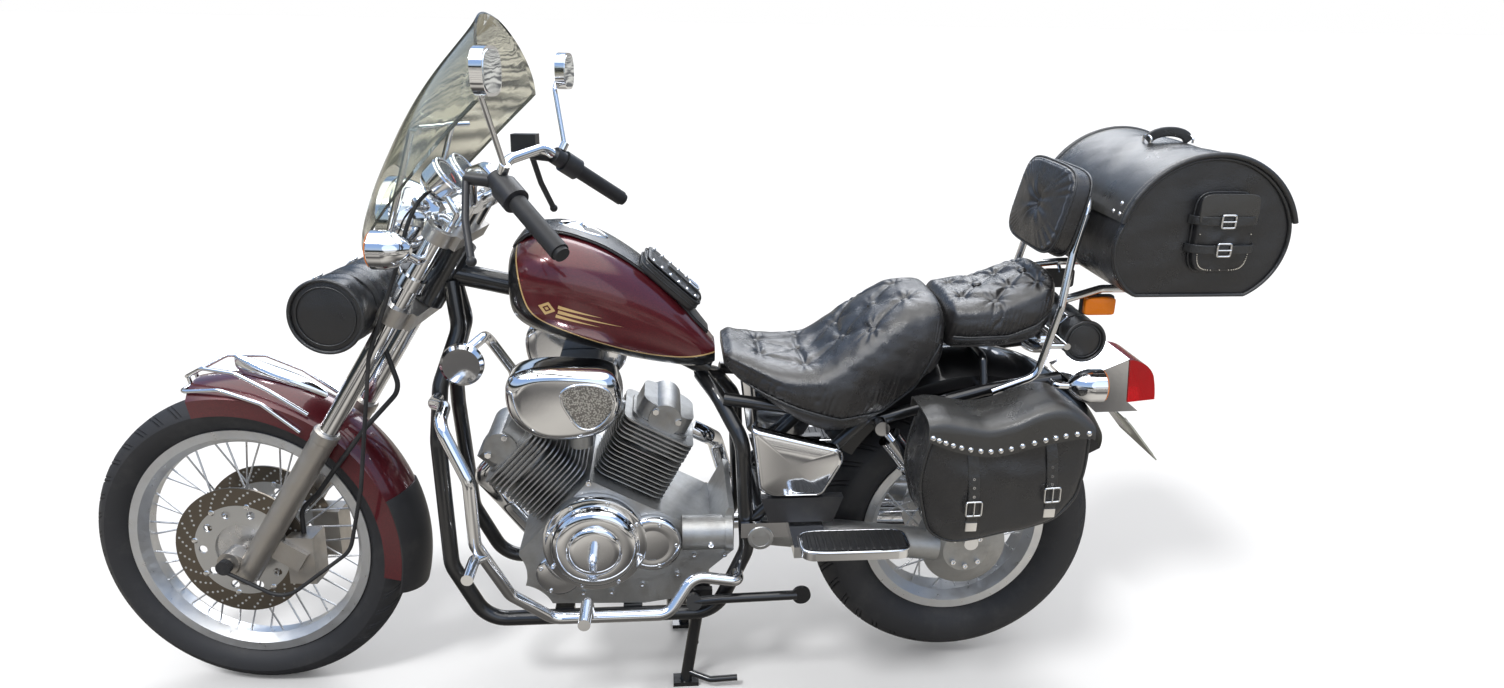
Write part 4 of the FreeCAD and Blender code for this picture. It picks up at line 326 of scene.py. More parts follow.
def leather_finish(name, color, rough, sheen, cells=620.0, wrinkle=16.0):
    """Leather: cells give the grain, slow noise the wrinkles, and worn spots shine."""
    material, surface, place = finish(name, color, roughness=rough, Specular_IOR_Level=0.9,
                                      Sheen_Weight=sheen, Sheen_Roughness=0.4)
    grain = node(material, "ShaderNodeTexVoronoi", Vector=place, Scale=cells).outputs["Distance"]
    folds = noise(material, place, wrinkle, 3, 0.5)
    fine = relief(material, surface, grain, 0.0006, 0.55)
    soft = node(material, "ShaderNodeBump", Height=folds, Distance=0.006, Strength=0.5)
    material.node_tree.links.new(soft.outputs["Normal"], fine.inputs["Normal"])
    worn = spread(material, noise(material, place, 7, 6, 0.65), rough - 0.12, rough + 0.14)
    link(material, worn, surface, "Roughness")
    return material


TYRE_RUBBER = rubber_finish("tyre_rubber", (0.018, 0.018, 0.020), 0.62, 900)
GRIP_RUBBER = rubber_finish("grip_rubber", (0.014, 0.014, 0.015), 0.58, 1400)
BLACK_PLASTIC = rubber_finish("black_plastic", (0.020, 0.020, 0.022), 0.42, 1800)
LEATHER = leather_finish("black_leather", (0.009, 0.009, 0.010), 0.31, 0.02)
SEAT_LEATHER = leather_finish("seat_leather", (0.012, 0.011, 0.011), 0.27, 0.03, 760.0, 24.0)
# The lid leather is the same black leather with a lighter base colour: painted sheen, for the pale
# shine on the lids.
LID_LEATHER_PAINTED_SHEEN = leather_finish("lid_leather_painted_sheen", (0.024, 0.023, 0.021), 0.31, 0.05, 620.0, 12.0)
LEATHER_EDGE = leather_finish("leather_edge", (0.012, 0.012, 0.012), 0.33, 0.05, 900.0, 40.0)
PALE_THREAD = rubber_finish("pale_thread", (0.45, 0.42, 0.36), 0.7, 2400)
print("soft finishes made")

# %% [markdown]
# The screen is clear acrylic with a faint green edge, and the lamps have coloured lenses. Glass
# lets light through, so a thin wall with a low index shift keeps it from looking like water.

# %% Clear and coloured lenses
def lens_finish(name, color, rough, clear):
    """Clear or coloured glass with a fine moulded pattern."""
    material, surface, place = finish(name, color, roughness=rough, IOR=1.45,
                                      Transmission_Weight=clear)
    ribs = node(material, "ShaderNodeTexWave", {"wave_type": "BANDS"}, Vector=place, Scale=90.0)
    relief(material, surface, ribs.outputs["Fac"], 0.0005, 0.25)
    return material


SCREEN_GLASS = finish("screen_acrylic", (0.84, 0.85, 0.76), roughness=0.015, IOR=1.30,
                      Transmission_Weight=0.97)[0]
RED_LENS = lens_finish("red_lens", (0.55, 0.008, 0.012), 0.08, 0.35)
AMBER_LENS = lens_finish("amber_lens", (0.85, 0.22, 0.01), 0.08, 0.35)
CLEAR_LENS = lens_finish("clear_lens", (0.92, 0.94, 0.95), 0.03, 0.9)
PLATE_METAL = alloy_finish("plate_metal", (0.62, 0.62, 0.55), 0.5, 300, 0.0002)
MIRROR_GLASS = chrome_finish("mirror_glass", (0.80, 0.86, 0.90), 0.012, 0.03)
DIAL_BLACK = rubber_finish("dial_black", (0.006, 0.006, 0.007), 0.25, 1500)
DIAL_WHITE = rubber_finish("dial_white", (0.75, 0.75, 0.72), 0.5, 1500)
NEEDLE_RED = rubber_finish("needle_red", (0.55, 0.03, 0.02), 0.4, 1500)
print("lens finishes made")

# %% [markdown]
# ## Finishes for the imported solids
# A solid whose shape is right keeps its mesh and only gets a better finish.

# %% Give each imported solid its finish
FINISHES = [
    (CHROME, "fork_tubes handlebar mirrors headlight gauges front_turn_signals engine_covers "
             "air_cleaners exhaust shocks side_covers luggage_rack engine_guards rear_turn_signals "
             "windshield_mounts front_fender_trim horn tail_housing floorboards"),
    (CAST_ALLOY, "crankcase front_cylinder rear_cylinder swingarm carburettors"),
    (FORK_ALLOY, "fork_yokes fork_sliders brake_calipers"),
    (SPOKE_METAL, "front_hub_spokes rear_hub_spokes"),
    (RIM_ALLOY, "front_rim rear_rim"),
    (DISC_STEEL, "front_discs"),
    (MAROON, "front_fender"),
    (TANK_PAINT, "fuel_tank"),
    (BLACK_PAINT, "frame centre_stand side_stand rear_fender"),
    (TYRE_RUBBER, "front_tyre rear_tyre"),
    (GRIP_RUBBER, "hand_grips brake_hose_and_cable"),
    (BLACK_PLASTIC, "hand_controls mudflap side_boxes"),
    (LEATHER, "front_tool_roll rear_tool_roll trunk_bag trunk_bag_lid saddlebag_left "
              "saddlebag_right saddlebag_left_lid saddlebag_right_lid backrest_pad tank_bib"),
    (SEAT_LEATHER, "rider_seat passenger_seat"),
    (SCREEN_GLASS, "windshield"),
    (RED_LENS, "tail_light"),
    (PLATE_METAL, "number_plate"),
]
plain = set(nodes)
for material, names in FINISHES:
    for name in names.split():
        nodes[name].data.materials.clear()
        nodes[name].data.materials.append(material)
        plain.remove(name)
print("solids with no finish", sorted(plain))

# %% [markdown]
# ## Surfaces from two parameters
# A soft or turned piece is a grid of points: one parameter runs along the piece and one around it.
# `skin` turns such a grid into a closed mesh, `carry` takes a small profile along a path, which
# gives piping, straps and springs, and `stamp` repeats a small shape, which gives studs and bolts.
# The arithmetic is done on whole arrays, so a dense grid costs hardly more than a coarse one.

# %% Helpers for surfaces
def unit(vectors):
    """Scale vectors to length one."""
    return vectors / np.maximum(np.linalg.norm(vectors, axis=-1, keepdims=True), 1e-12)


def make_mesh(name, points, faces, material, body, smooth):
    """Put points and faces into a mesh, turn them outwards, and let the piece ride on its body."""
    mesh = bpy.data.meshes.new(name)
    mesh.from_pydata(points.tolist(), [], faces)
    mesh.validate()
    corners = np.empty(len(mesh.vertices) * 3)
    mesh.vertices.foreach_get("co", corners)
    mesh.calc_loop_triangles()
    picks = np.empty(len(mesh.loop_triangles) * 3, dtype=np.int32)
    mesh.loop_triangles.foreach_get("vertices", picks)
    a, b, c = np.moveaxis(corners.reshape(-1, 3)[picks.reshape(-1, 3)], 1, 0)
    if np.einsum("ij,ij->i", a, np.cross(b, c)).sum() < 0:
        mesh.flip_normals()
    mesh.polygons.foreach_set("use_smooth", np.ones(len(mesh.polygons), dtype=bool))
    mesh.set_sharp_from_angle(angle=math.radians(smooth))
    thing = bpy.data.objects.new(name, mesh)
    bpy.context.scene.collection.objects.link(thing)
    mesh.materials.append(material)
    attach(thing, body)
    return thing


def grid_faces(rows, columns, start=0, round_rows=False, round_columns=False):
    """Four-sided faces between neighbours of a grid, which may close on itself either way."""
    i = np.arange(rows if round_rows else rows - 1)[:, None]
    j = np.arange(columns if round_columns else columns - 1)[None, :]
    i_next, j_next = (i + 1) % rows, (j + 1) % columns
    quads = np.stack([i * columns + j, i * columns + j_next, i_next * columns + j_next,
                      i_next * columns + j], -1)
    return (quads.reshape(-1, 4) + start).tolist()


def skin(name, grid, material, body, smooth=60.0):
    """A closed tube of rings, with each end ring drawn together to its middle point."""
    rows, columns = grid.shape[:2]
    points = np.vstack([grid.reshape(-1, 3), grid[0].mean(0), grid[-1].mean(0)])
    faces = grid_faces(rows, columns, round_columns=True)
    ring = np.arange(columns)
    after = (ring + 1) % columns
    first, last = np.full(columns, rows * columns), np.full(columns, rows * columns + 1)
    faces += np.stack([first, after, ring], -1).tolist()
    tail = (rows - 1) * columns
    faces += np.stack([last, ring + tail, after + tail], -1).tolist()
    return make_mesh(name, points, faces, material, body, smooth)


def grid_normals(grid):
    """The direction square to a grid at each point, from the differences along it and across it."""
    return unit(np.cross(np.gradient(grid, axis=0), np.gradient(grid, axis=1)))


def slab(name, grid, thickness, material, body, smooth=50.0):
    """A sheet with a real thickness: the grid, the grid moved inwards, and a rim between them."""
    rows, columns = grid.shape[:2]
    inner = grid - grid_normals(grid) * thickness
    points = np.vstack([grid.reshape(-1, 3), inner.reshape(-1, 3)])
    faces = grid_faces(rows, columns)
    faces += [face[::-1] for face in grid_faces(rows, columns, rows * columns)]
    index = np.arange(rows * columns).reshape(rows, columns)
    edge = np.concatenate([index[0, :-1], index[:-1, -1], index[-1, :0:-1], index[:0:-1, 0]])
    after = np.roll(edge, -1)
    faces += np.stack([edge, edge + rows * columns, after + rows * columns, after], -1).tolist()
    return make_mesh(name, points, faces, material, body, smooth)


def cubic_between(t, a, b, u, v):
    """The cubic over t from 0 to 1 that leaves a with slope u and reaches b with slope v."""
    leaving = (2 * t**3 - 3 * t**2 + 1) * a + (t**3 - 2 * t**2 + t) * u
    return leaving + (3 * t**2 - 2 * t**3) * b + (t**3 - t**2) * v


def through(places, count, closed=False):
    """A smooth path through places: each span is a cubic whose slopes come from its neighbours."""
    knots = np.asarray(places, float)
    spans = len(knots) if closed else len(knots) - 1
    if closed:
        slopes = (np.roll(knots, -1, 0) - np.roll(knots, 1, 0)) / 2
    else:
        slopes = np.gradient(knots, axis=0)
    share = np.linspace(0, spans, count, endpoint=not closed)
    span = np.minimum(share.astype(int), spans - 1)
    t = (share - span)[:, None]
    after = (span + 1) % len(knots)
    return cubic_between(t, knots[span], knots[after], slopes[span], slopes[after])


def carry(name, path, profile, up, material, body, closed=False):
    """Take a flat profile along a path; up is a direction that the path never follows."""
    path = np.asarray(path, float)
    along = unit(np.roll(path, -1, 0) - np.roll(path, 1, 0)
                 if closed else np.gradient(path, axis=0))
    side = unit(np.cross(along, np.asarray(up, float)))
    other = unit(np.cross(side, along))
    profile = np.asarray(profile, float)
    grid = path[:, None] + side[:, None] * profile[:, :1] + other[:, None] * profile[:, 1:]
    if closed:
        faces = grid_faces(*grid.shape[:2], round_rows=True, round_columns=True)
        return make_mesh(name, grid.reshape(-1, 3), faces, material, body, 50.0)
    return skin(name, grid, material, body, 50.0)


def around(count):
    """Even angles of a full turn."""
    return np.linspace(0, 2 * math.pi, count, endpoint=False)


def bent(turn, power):
    """Cosine and sine of a turn, each to a power below one, so that a circle becomes a soft box."""
    wave = np.stack([np.cos(turn), np.sin(turn)], -1)
    return np.sign(wave) * np.abs(wave) ** power


def circle(radius, count=10):
    """A round profile."""
    return bent(around(count), 1) * radius


def strip(width, depth, soft=0.25):
    """A flat profile with softened corners, width across and depth thick."""
    return bent(around(20), soft) * (width / 2, depth / 2)


def stamp(name, places, normals, outline, material, body, sides):
    """Repeat one small turned shape; outline lists its radius and height from foot to top."""
    places, normals = np.asarray(places, float), unit(np.asarray(normals, float))
    least = np.eye(3)[np.argmin(np.abs(normals), axis=-1)]
    side = unit(np.cross(normals, least))
    other = np.cross(normals, side)
    cos, sin = bent(around(sides), 1).T[..., None]
    ring = side[:, None] * cos + other[:, None] * sin
    outline = np.asarray(outline, float)
    radius, height = outline[:, 0][:, None, None], outline[:, 1][:, None, None]
    shape = places[:, None, None] + radius * ring[:, None] + height * normals[:, None, None]
    each = len(outline) * sides
    walls = np.array(grid_faces(len(outline), sides, round_columns=True))
    offsets = (np.arange(len(places)) * each)[:, None, None]
    faces = (walls[None] + offsets).reshape(-1, 4).tolist()
    ends = np.stack([np.arange(sides)[::-1], np.arange(sides) + each - sides])
    faces += (ends[None] + offsets).reshape(-1, sides).tolist()
    return make_mesh(name, shape.reshape(-1, 3), faces, material, body, 40.0)


STUD = [(0.0042, -0.001), (0.0042, 0.0004), (0.0032, 0.0018), (0.0014, 0.0026)]
BOLT = [(0.0055, -0.002), (0.0055, 0.0035), (0.0048, 0.0045), (0.0026, 0.0045), (0.0022, 0.002)]
STEERING_ANGLE, STEERING_AXIS = -6.6, (-0.529919, 0, 0.848048)
STEERING_FOOT = np.array([1.004, 0, 0])
STEERING_TURN = np.array(Matrix.Rotation(math.radians(STEERING_ANGLE), 3, Vector(STEERING_AXIS)))


def steered(points):
    """Turn points of the straight-ahead bike about the steering axis, to where the bars are."""
    return (np.asarray(points, float) - STEERING_FOOT) @ STEERING_TURN.T + STEERING_FOOT


def steered_way(way):
    """Turn a direction with the bars, as the difference of two turned points."""
    return steered(way) - steered((0, 0, 0))


SIDES = (("left", 1), ("right", -1))


def mirrored(points):
    """The same points on the other side of the bike."""
    return np.asarray(points, float) * (1, -1, 1)


def both(points):
    """Points for the left side of the bike, and the same points mirrored for the right side."""
    return ("left", points), ("right", mirrored(points))


def side_view(flat, y):
    """Points of a side view, x and z, at distances y to the left of the middle plane."""
    return np.stack([flat[..., 0], np.broadcast_to(y, flat.shape[:-1]), flat[..., 1]], -1)


def shrunk(outline, middle, scale):
    """Copies of an outline, each drawn towards a middle point by its own scale."""
    return middle + (outline - middle) * np.asarray(scale)[:, None, None]


def sampled(line, known, wanted):
    """Points of a line at the wanted places, worked out from its points at the known places."""
    return np.transpose([np.interp(wanted, known, column) for column in np.transpose(line)])


def tilted(degrees):
    """The directions ahead and up on something that leans back by an angle."""
    angle = math.radians(degrees)
    cos, sin = math.cos(angle), math.sin(angle)
    return np.array([cos, 0, sin]), np.array([-sin, 0, cos])


def step(value, start, end):
    """Rise smoothly from 0 at start to 1 at end."""
    share = np.clip((value - start) / (end - start), 0, 1)
    return share * share * (3 - 2 * share)


def waves(points, pitch, seed):
    """Gentle seeded unevenness, between about -1 and 1: a few slanted sine waves added together."""
    chance = np.random.default_rng(seed)
    total = np.zeros(points.shape[:-1])
    for share in (1.0, 0.7, 0.5, 0.35):
        direction = unit(chance.normal(size=3)) * 2 * math.pi / (pitch * share)
        total += share * np.sin(points @ direction + chance.uniform(0, 6.28))
    return total / 1.6


print("surface helpers ready")

# %% [markdown]
# ## The rider's seat
# The saddle is foam under stretched leather: a smooth nose, a deep dip, and a tufted bump behind.
# Buttons pull the leather down and folds run between them, while the side is gathered into small
# pleats above a piped seam. Rings of a rounded section, one after the other, give the foam, and
# the leather's folds are heights added along the surface's own direction.

# %% Tufts and pleats
def nearest_fold(flat, buttons, reach):
    """How far each point of the plan is from a button, and from a line that joins near buttons."""
    buttons = np.asarray(buttons, float)
    to_button = np.linalg.norm(flat[..., None, :] - buttons, axis=-1)
    first, second = np.triu_indices(len(buttons), 1)
    close = np.linalg.norm(buttons[first] - buttons[second], axis=-1) < reach
    start, end = buttons[first[close]], buttons[second[close]]
    along = end - start
    share = np.clip(((flat[..., None, :] - start) * along).sum(-1) / (along**2).sum(-1), 0, 1)
    to_line = np.linalg.norm(flat[..., None, :] - start - share[..., None] * along, axis=-1)
    return to_button, to_line.min(-1)


TUFT_DEPTH = 0.006


def tufting(flat, buttons, reach):
    """Height of tufted leather: valleys on the folds, pits at buttons, wrinkles round them."""
    to_button, to_line = nearest_fold(flat, buttons, reach)
    away = flat[..., None, :] - np.asarray(buttons, float)
    angle = np.arctan2(away[..., 1], away[..., 0])
    order = np.arange(len(buttons))
    ripples = np.sin(9 * angle + 2.1 * order) * np.exp(-((to_button - 0.022) / 0.013) ** 2)
    nearest = to_button.min(-1)
    swell = 0.004 * (1 - np.exp(-(np.minimum(nearest, to_line) / 0.026) ** 2))
    valley = -0.75 * TUFT_DEPTH * np.exp(-(to_line / 0.0065) ** 2) * step(-nearest, -0.16, -0.02)
    pit = -TUFT_DEPTH * np.exp(-(nearest / 0.012) ** 2)
    return swell + valley + pit + 0.0012 * ripples.sum(-1)


def gathers(along, above, pitch, tall):
    """Height of small pleats just above a seam: leaning creases that fade upwards."""
    phase = along + 0.35 * above + 0.004 * np.sin(along * 71) + 0.003 * np.sin(along * 173)
    crease = np.abs(np.sin(math.pi * (phase / pitch))) ** 0.6
    size = 0.6 + 0.4 * np.sin(along * 37 + 1) * np.sin(along * 91)
    fade = 0.038 + 0.02 * np.sin(along * 53)
    return tall * (crease - 0.7) * size * np.exp(-(above / fade) ** 2) * (above > 0)


# %% The shape under the leather
SEAT_ROWS, SEAT_COLUMNS, SEAT_ROUNDING = 220, 150, 3.2


def seat_rings(sections, roof, inner):
    """Rings of a seat: a rounded top and skirts, and a flat-roofed hollow over the frame below."""
    x, half, low, high = through(np.array(sections) / 1000, SEAT_ROWS).T
    middle, tall = (low + high) / 2, (high - low) / 2
    wide = np.minimum(inner, half - 0.006)
    end = np.arccos(np.clip((wide / half) ** (SEAT_ROUNDING / 2), 0, 1))[:, None]
    wave = bent(np.linspace(0, 1, SEAT_COLUMNS) * (math.pi + 2 * end) - end, 2 / SEAT_ROUNDING)
    y, z = half[:, None] * wave[..., 0], middle[:, None] + tall[:, None] * wave[..., 1]
    ceiling = np.maximum(np.maximum(roof(x), low), z[:, 0] - 0.004)
    under_y = np.stack([-wide, -wide, -wide / 2, wide / 2, wide, wide], -1)
    under_z = np.stack([z[:, -1] + 0.001, ceiling, ceiling, ceiling, ceiling, z[:, 0] + 0.001], -1)
    y, z = np.hstack([y, under_y]), np.hstack([z, under_z])
    grid = np.stack([np.broadcast_to(x[:, None], y.shape), y, z], -1)
    from_end = np.minimum(x.max() - x, x - x.min()) / 0.02
    shrink = 0.84 + 0.16 * np.sqrt(1 - (1 - np.clip(from_end, 0, 1)) ** 2)
    centre = np.stack([x, 0 * x, middle], -1)[:, None]
    return centre + (grid - centre) * shrink[:, None, None], (x, half, middle, tall)


def side_of(shape, x, z):
    """How far out the seat's rounded side is at a place along it and a height."""
    half, middle, tall = (np.interp(-x, -shape[0], values) for values in shape[1:])
    share = np.clip(np.abs((z - middle) / tall), 0, 0.999)
    return half * (1 - share**SEAT_ROUNDING) ** (1 / SEAT_ROUNDING)


def upholster(name, node, sections, seam, buttons, reach, roof, inner, pleat):
    """A seat's leather: tufts on top, buttons, and pleats above a piped seam on each side."""
    grid, shape = seat_rings(sections, roof, inner)
    out = grid_normals(grid)
    middle = np.stack([grid[:, 0, 0], 0 * grid[:, 0, 0], shape[2]], -1)[:, None]
    out *= np.sign(((grid - middle) * out).sum(-1, keepdims=True))
    line = np.interp(-grid[..., 0], -seam[0], seam[1])
    above = grid[..., 2] - line
    top = step(out[..., 2], 0.25, 0.75)
    lift = tufting(grid[..., :2], buttons, reach) * top
    lift += gathers(grid[..., 0], above, pleat, 0.0052) * (1 - 0.8 * top)
    lift += 0.003 * step(above, 0, 0.02) - 0.003 * np.exp(-(above / 0.004) ** 2)
    lift += 0.0009 * waves(grid, 0.07, 4) * step(above, 0.0, 0.03)
    lift[:, SEAT_COLUMNS:] = 0
    ends = step(np.minimum(shape[0].max() - shape[0], shape[0] - shape[0].min()), 0.0, 0.02)
    grid = grid + out * (lift * ends[:, None])[..., None]
    seat = skin(name, grid, SEAT_LEATHER, "chassis", 75)
    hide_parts(node)
    cover, upper = (rings[:, :SEAT_COLUMNS].reshape(-1, 3) for rings in (grid, out))
    pick = [np.argmin(((cover[:, :2] - place) ** 2).sum(-1) - 0.001 * cover[:, 2])
            for place in buttons]
    dome = [(0.0095, -0.002), (0.0105, 0.001), (0.0085, 0.0035), (0.0045, 0.005), (0.0012, 0.0054)]
    stamp(name + "_buttons", cover[pick], upper[pick], dome, SEAT_LEATHER, "chassis", 16)
    run = np.linspace(seam[0][0] - 0.012, seam[0][-1] + 0.012, 140)
    height = np.interp(-run, -seam[0], seam[1])
    path = np.stack([run, side_of(shape, run, height) - 0.0005, height], -1)
    for side, points in both(path):
        carry(f"{name}_piping_{side}", points, circle(0.0024), (0, 1, 0), LEATHER_EDGE, "chassis")
    return grid


SADDLE = [(-128, 88, 742, 776), (-180, 112, 694, 764), (-250, 150, 640, 752), (-330, 165, 604, 764),
          (-410, 160, 602, 828), (-480, 150, 642, 872), (-540, 136, 700, 882),
          (-572, 120, 744, 872)]
SADDLE_SEAM = np.array([(-128, -142, -200, -276, -360, -444, -511, -545, -572),
                        (740, 726, 702, 677, 654, 664, 712, 775, 822)]) / 1000
SADDLE_BUTTONS = np.array([(-204, 46), (-204, -46), (-290, 0), (-292, 92), (-292, -92), (-372, 48),
                           (-372, -48), (-424, 104), (-424, -104), (-440, 0), (-500, 56),
                           (-500, -56)]) / 1000


def saddle_roof(x):
    """The hollow's roof: the frame's rails, and the rear fender's crown."""
    crown = 0.395 + np.sqrt(np.maximum(0.364**2 - (x + 0.655) ** 2, 0))
    return np.maximum(0.713, crown)


saddle = upholster("rider_saddle", "rider_seat", SADDLE, SADDLE_SEAM, SADDLE_BUTTONS, 0.105,
                   saddle_roof, 0.146, 0.013)
print("rider's saddle", saddle.shape)

# %% [markdown]
# ## The passenger's seat
# It is the same upholstery on a narrower pad that climbs towards the backrest. Underneath it is
# solid down to its own base, so its hollow has its roof at height zero.

# %% Passenger's seat
PILLION = [(-577, 112, 768, 874), (-620, 124, 770, 880), (-700, 128, 772, 896),
           (-760, 122, 790, 920), (-800, 100, 838, 934)]
PILLION_SEAM = np.array([(-577, -620, -700, -760, -800), (812, 812, 816, 838, 872)]) / 1000
PILLION_BUTTONS = np.array([(-618, 52), (-618, -52), (-666, 0), (-676, 92), (-676, -92), (-716, 48),
                            (-716, -48), (-762, 0), (-766, 74), (-766, -74)]) / 1000
pillion = upholster("passenger_pad", "passenger_seat", PILLION, PILLION_SEAM, PILLION_BUTTONS,
                    0.085, np.zeros_like, 0.2, 0.011)
print("passenger's pad", pillion.shape)

# %% [markdown]
# ## The backrest
# The pad is a cushion with one button in the middle of its front. It is made as a pillow: the same
# outline shrinks to the middle of the back, widens to the rim, and shrinks again over the front.

# %% Pillows
def rounded_box(wide, tall, count, power=4.5):
    """A closed outline between a square and an oval, about the origin."""
    return bent(around(count), 2 / power) * (wide / 2, tall / 2)


def raised(outline, height):
    """An outline at one height above its own plane."""
    return np.concatenate([outline, np.full((len(outline), 1), height)], -1)


def pillow(outline, depth, crown, edge, rows=26):
    """Rings of an outline: out over the back, round the rim, and in over the crowned front."""
    middle = outline.mean(0)
    reach = np.abs(outline - middle).max()
    share = np.linspace(0.02, 1, rows)
    quarter = np.linspace(0, math.pi / 2, 7)[1:]
    soft = edge / reach
    back = np.stack([share * (1 - soft), 0 * share], -1)
    low = np.stack([1 - soft + soft * np.sin(quarter), edge * (1 - np.cos(quarter))], -1)
    band = np.stack([np.ones(6), np.linspace(edge, depth - edge, 8)[1:-1]], -1)
    high = np.stack([1 - soft + soft * np.cos(quarter), depth - edge + edge * np.sin(quarter)], -1)
    inward = share[::-1]
    front = np.stack([inward * (1 - soft), depth + crown * (1 - inward**2)], -1)
    scale, height = np.vstack([back, low, band, high, front]).T
    rings = shrunk(outline, middle, scale)
    return np.stack([raised(ring, rise) for ring, rise in zip(rings, height)])


def placed(local, origin, first, second, third):
    """Carry local points into the bike's frame along three directions."""
    return np.asarray(origin, float) + local @ np.array([first, second, third], float)


def side_frame(origin, sign):
    """Place and directions of something flat on one side of the bike: ahead, up and outwards."""
    return np.array(origin) * (1, sign, 1), (1, 0, 0), (0, 0, 1), (0, sign, 0)


# %% Backrest pad
PAD_WIDE, PAD_TALL, PAD_DEEP = 0.268, 0.174, 0.044
PAD_AHEAD, PAD_UP = tilted(14)
PAD_FRAME = (np.array([-0.800, 0, 0.968]) + PAD_UP * 0.088, (0, 1, 0), PAD_UP, PAD_AHEAD)
pad = pillow(rounded_box(PAD_WIDE, PAD_TALL, 160), PAD_DEEP, 0.009, 0.010)
rim = np.linalg.norm(pad[..., :2] / (PAD_WIDE / 2, PAD_TALL / 2), axis=-1)
angle = np.arctan2(pad[..., 1], pad[..., 0])
front = step(pad[..., 2], 0.038, PAD_DEEP)
dent = -0.016 * np.exp(-(np.linalg.norm(pad[..., :2], axis=-1) / 0.020) ** 2)
spokes = 0.0016 * np.sin(11 * angle + np.sin(3 * angle)) * np.exp(-((rim - 0.34) / 0.22) ** 2)
pleats = np.abs(np.sin(24 * angle + 2 * np.sin(5 * angle))) - 0.6
edge_pleats = 0.0022 * pleats * step(rim, 0.62, 0.95)
pad[..., 2] += front * (dent + spokes + edge_pleats)
backrest = skin("backrest_cushion", placed(pad, *PAD_FRAME), SEAT_LEATHER, "chassis", 75)
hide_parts("backrest_pad")
for name, height in (("front", 0.038), ("back", 0.006)):
    edge = raised(rounded_box(PAD_WIDE + 0.002, PAD_TALL + 0.002, 160), height)
    carry(f"backrest_piping_{name}", placed(edge, *PAD_FRAME), circle(0.0024), PAD_AHEAD,
          LEATHER_EDGE, "chassis", closed=True)
button = PAD_FRAME[0] + PAD_AHEAD * 0.037
dome = [(0.0115, -0.002), (0.0125, 0.001), (0.010, 0.0045), (0.005, 0.006), (0.0012, 0.0064)]
stamp("backrest_button", [button], [PAD_AHEAD], dome, SEAT_LEATHER, "chassis", 20)

# %% [markdown]
# ## The saddlebags
# Each bag is soft leather: a wide body that hangs in a curve, and a lid that drops over it with a
# wavy, studded edge. The body is one skin whose top sinks inside, so that it is hollow when the lid
# is up. Two straps with square buckles come out from under the lid.

# %% Bag bodies
BAG_SIDE = np.array([(-800, 698), (-801, 640), (-797, 596), (-786, 552), (-752, 513), (-700, 494),
                     (-650, 484), (-596, 472), (-548, 470), (-510, 492), (-494, 534), (-485, 585),
                     (-490, 640), (-505, 698)]) / 1000
BAG_MIDDLE = np.array([-0.645, 0.585])


def bag_body():
    """Rings of the bag's side view carried across it; the top row of each ring sinks inside."""
    side = through(BAG_SIDE, 150)
    share = np.array([0.012, 0.018, 0.03, *np.linspace(0.06, 0.94, 14), 0.97, 0.982, 0.988])
    top = side[-1] + (side[0] - side[-1]) * share[:, None]
    outline = np.vstack([side, top])
    across = [(0.03, 0.197), (0.3, 0.197), (0.6, 0.197), (0.90, 0.197), (0.965, 0.199),
              (0.99, 0.203), (1, 0.2095)]
    across += [(1, y) for y in (0.211, *np.linspace(0.22, 0.305, 9), 0.316, 0.3175)]
    across += [(0.992, 0.323), (0.97, 0.3275), (0.93, 0.3295),
               *((k, 0.330) for k in np.linspace(0.88, 0.03, 20))]
    scale, y = np.array(across).T
    flat = shrunk(outline, BAG_MIDDLE, scale)
    grid = side_view(flat, y[:, None])
    column, row_y = np.arange(len(outline))[None], grid[..., 1]
    sunk = (column > 151) & (column < len(outline) - 2) & (scale[:, None] == 1)
    sunk &= (row_y > 0.2105) & (row_y < 0.317)
    outer = step(row_y, 0.30, 0.33) * step(-grid[..., 2], -0.655, -0.60)
    inside = np.linalg.norm((flat - BAG_MIDDLE) / (0.155, 0.11), axis=-1)
    grid[..., 1] += outer * (0.007 * np.clip(1 - inside**2, 0, 1) + 0.002 * waves(grid, 0.09, 7))
    near_middle = step(np.abs(row_y - 0.2635), 0.06, 0.03) * (column < 150)
    folds = 0.003 * waves(grid, 0.06, 11) * near_middle
    grid[..., ::2] += folds[..., None] * unit(flat - BAG_MIDDLE)
    bottom = 0.512 + 0.03 * np.abs((grid[..., 0] + 0.64) / 0.15) ** 2
    grid[..., 2] = np.where(sunk, bottom, grid[..., 2])
    for side_name, points in both(grid):
        bag = skin(f"bag_body_{side_name}", points, LEATHER, "chassis", 60)
        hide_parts(f"saddlebag_{side_name}")
    return side


bag_side = bag_body()
for edge_y, where in ((0.324, "outer"), (0.204, "inner")):
    for side, points in both(side_view(bag_side[4:-4], edge_y)):
        carry(f"bag_piping_{where}_{side}", points, circle(0.0032), (0, 1, 0), LEATHER_EDGE,
              "chassis")
print("bag bodies made")

# %% Bag lids
LID_TOP = np.array([(-490, 718), (-520, 721), (-558, 714), (-604, 706), (-652, 717), (-704, 739),
                    (-752, 740), (-806, 704)]) / 1000
LID_LOW = np.array([(-490, 684), (-542, 663), (-590, 653), (-639, 654), (-707, 672), (-757, 681),
                    (-781, 684), (-806, 684)]) / 1000
LID_FACE, LID_THICK, LID_ROWS, LID_STUDS = 0.3352, 0.0042, 120, 17
LID_STUD = np.array(STUD) * 1.35


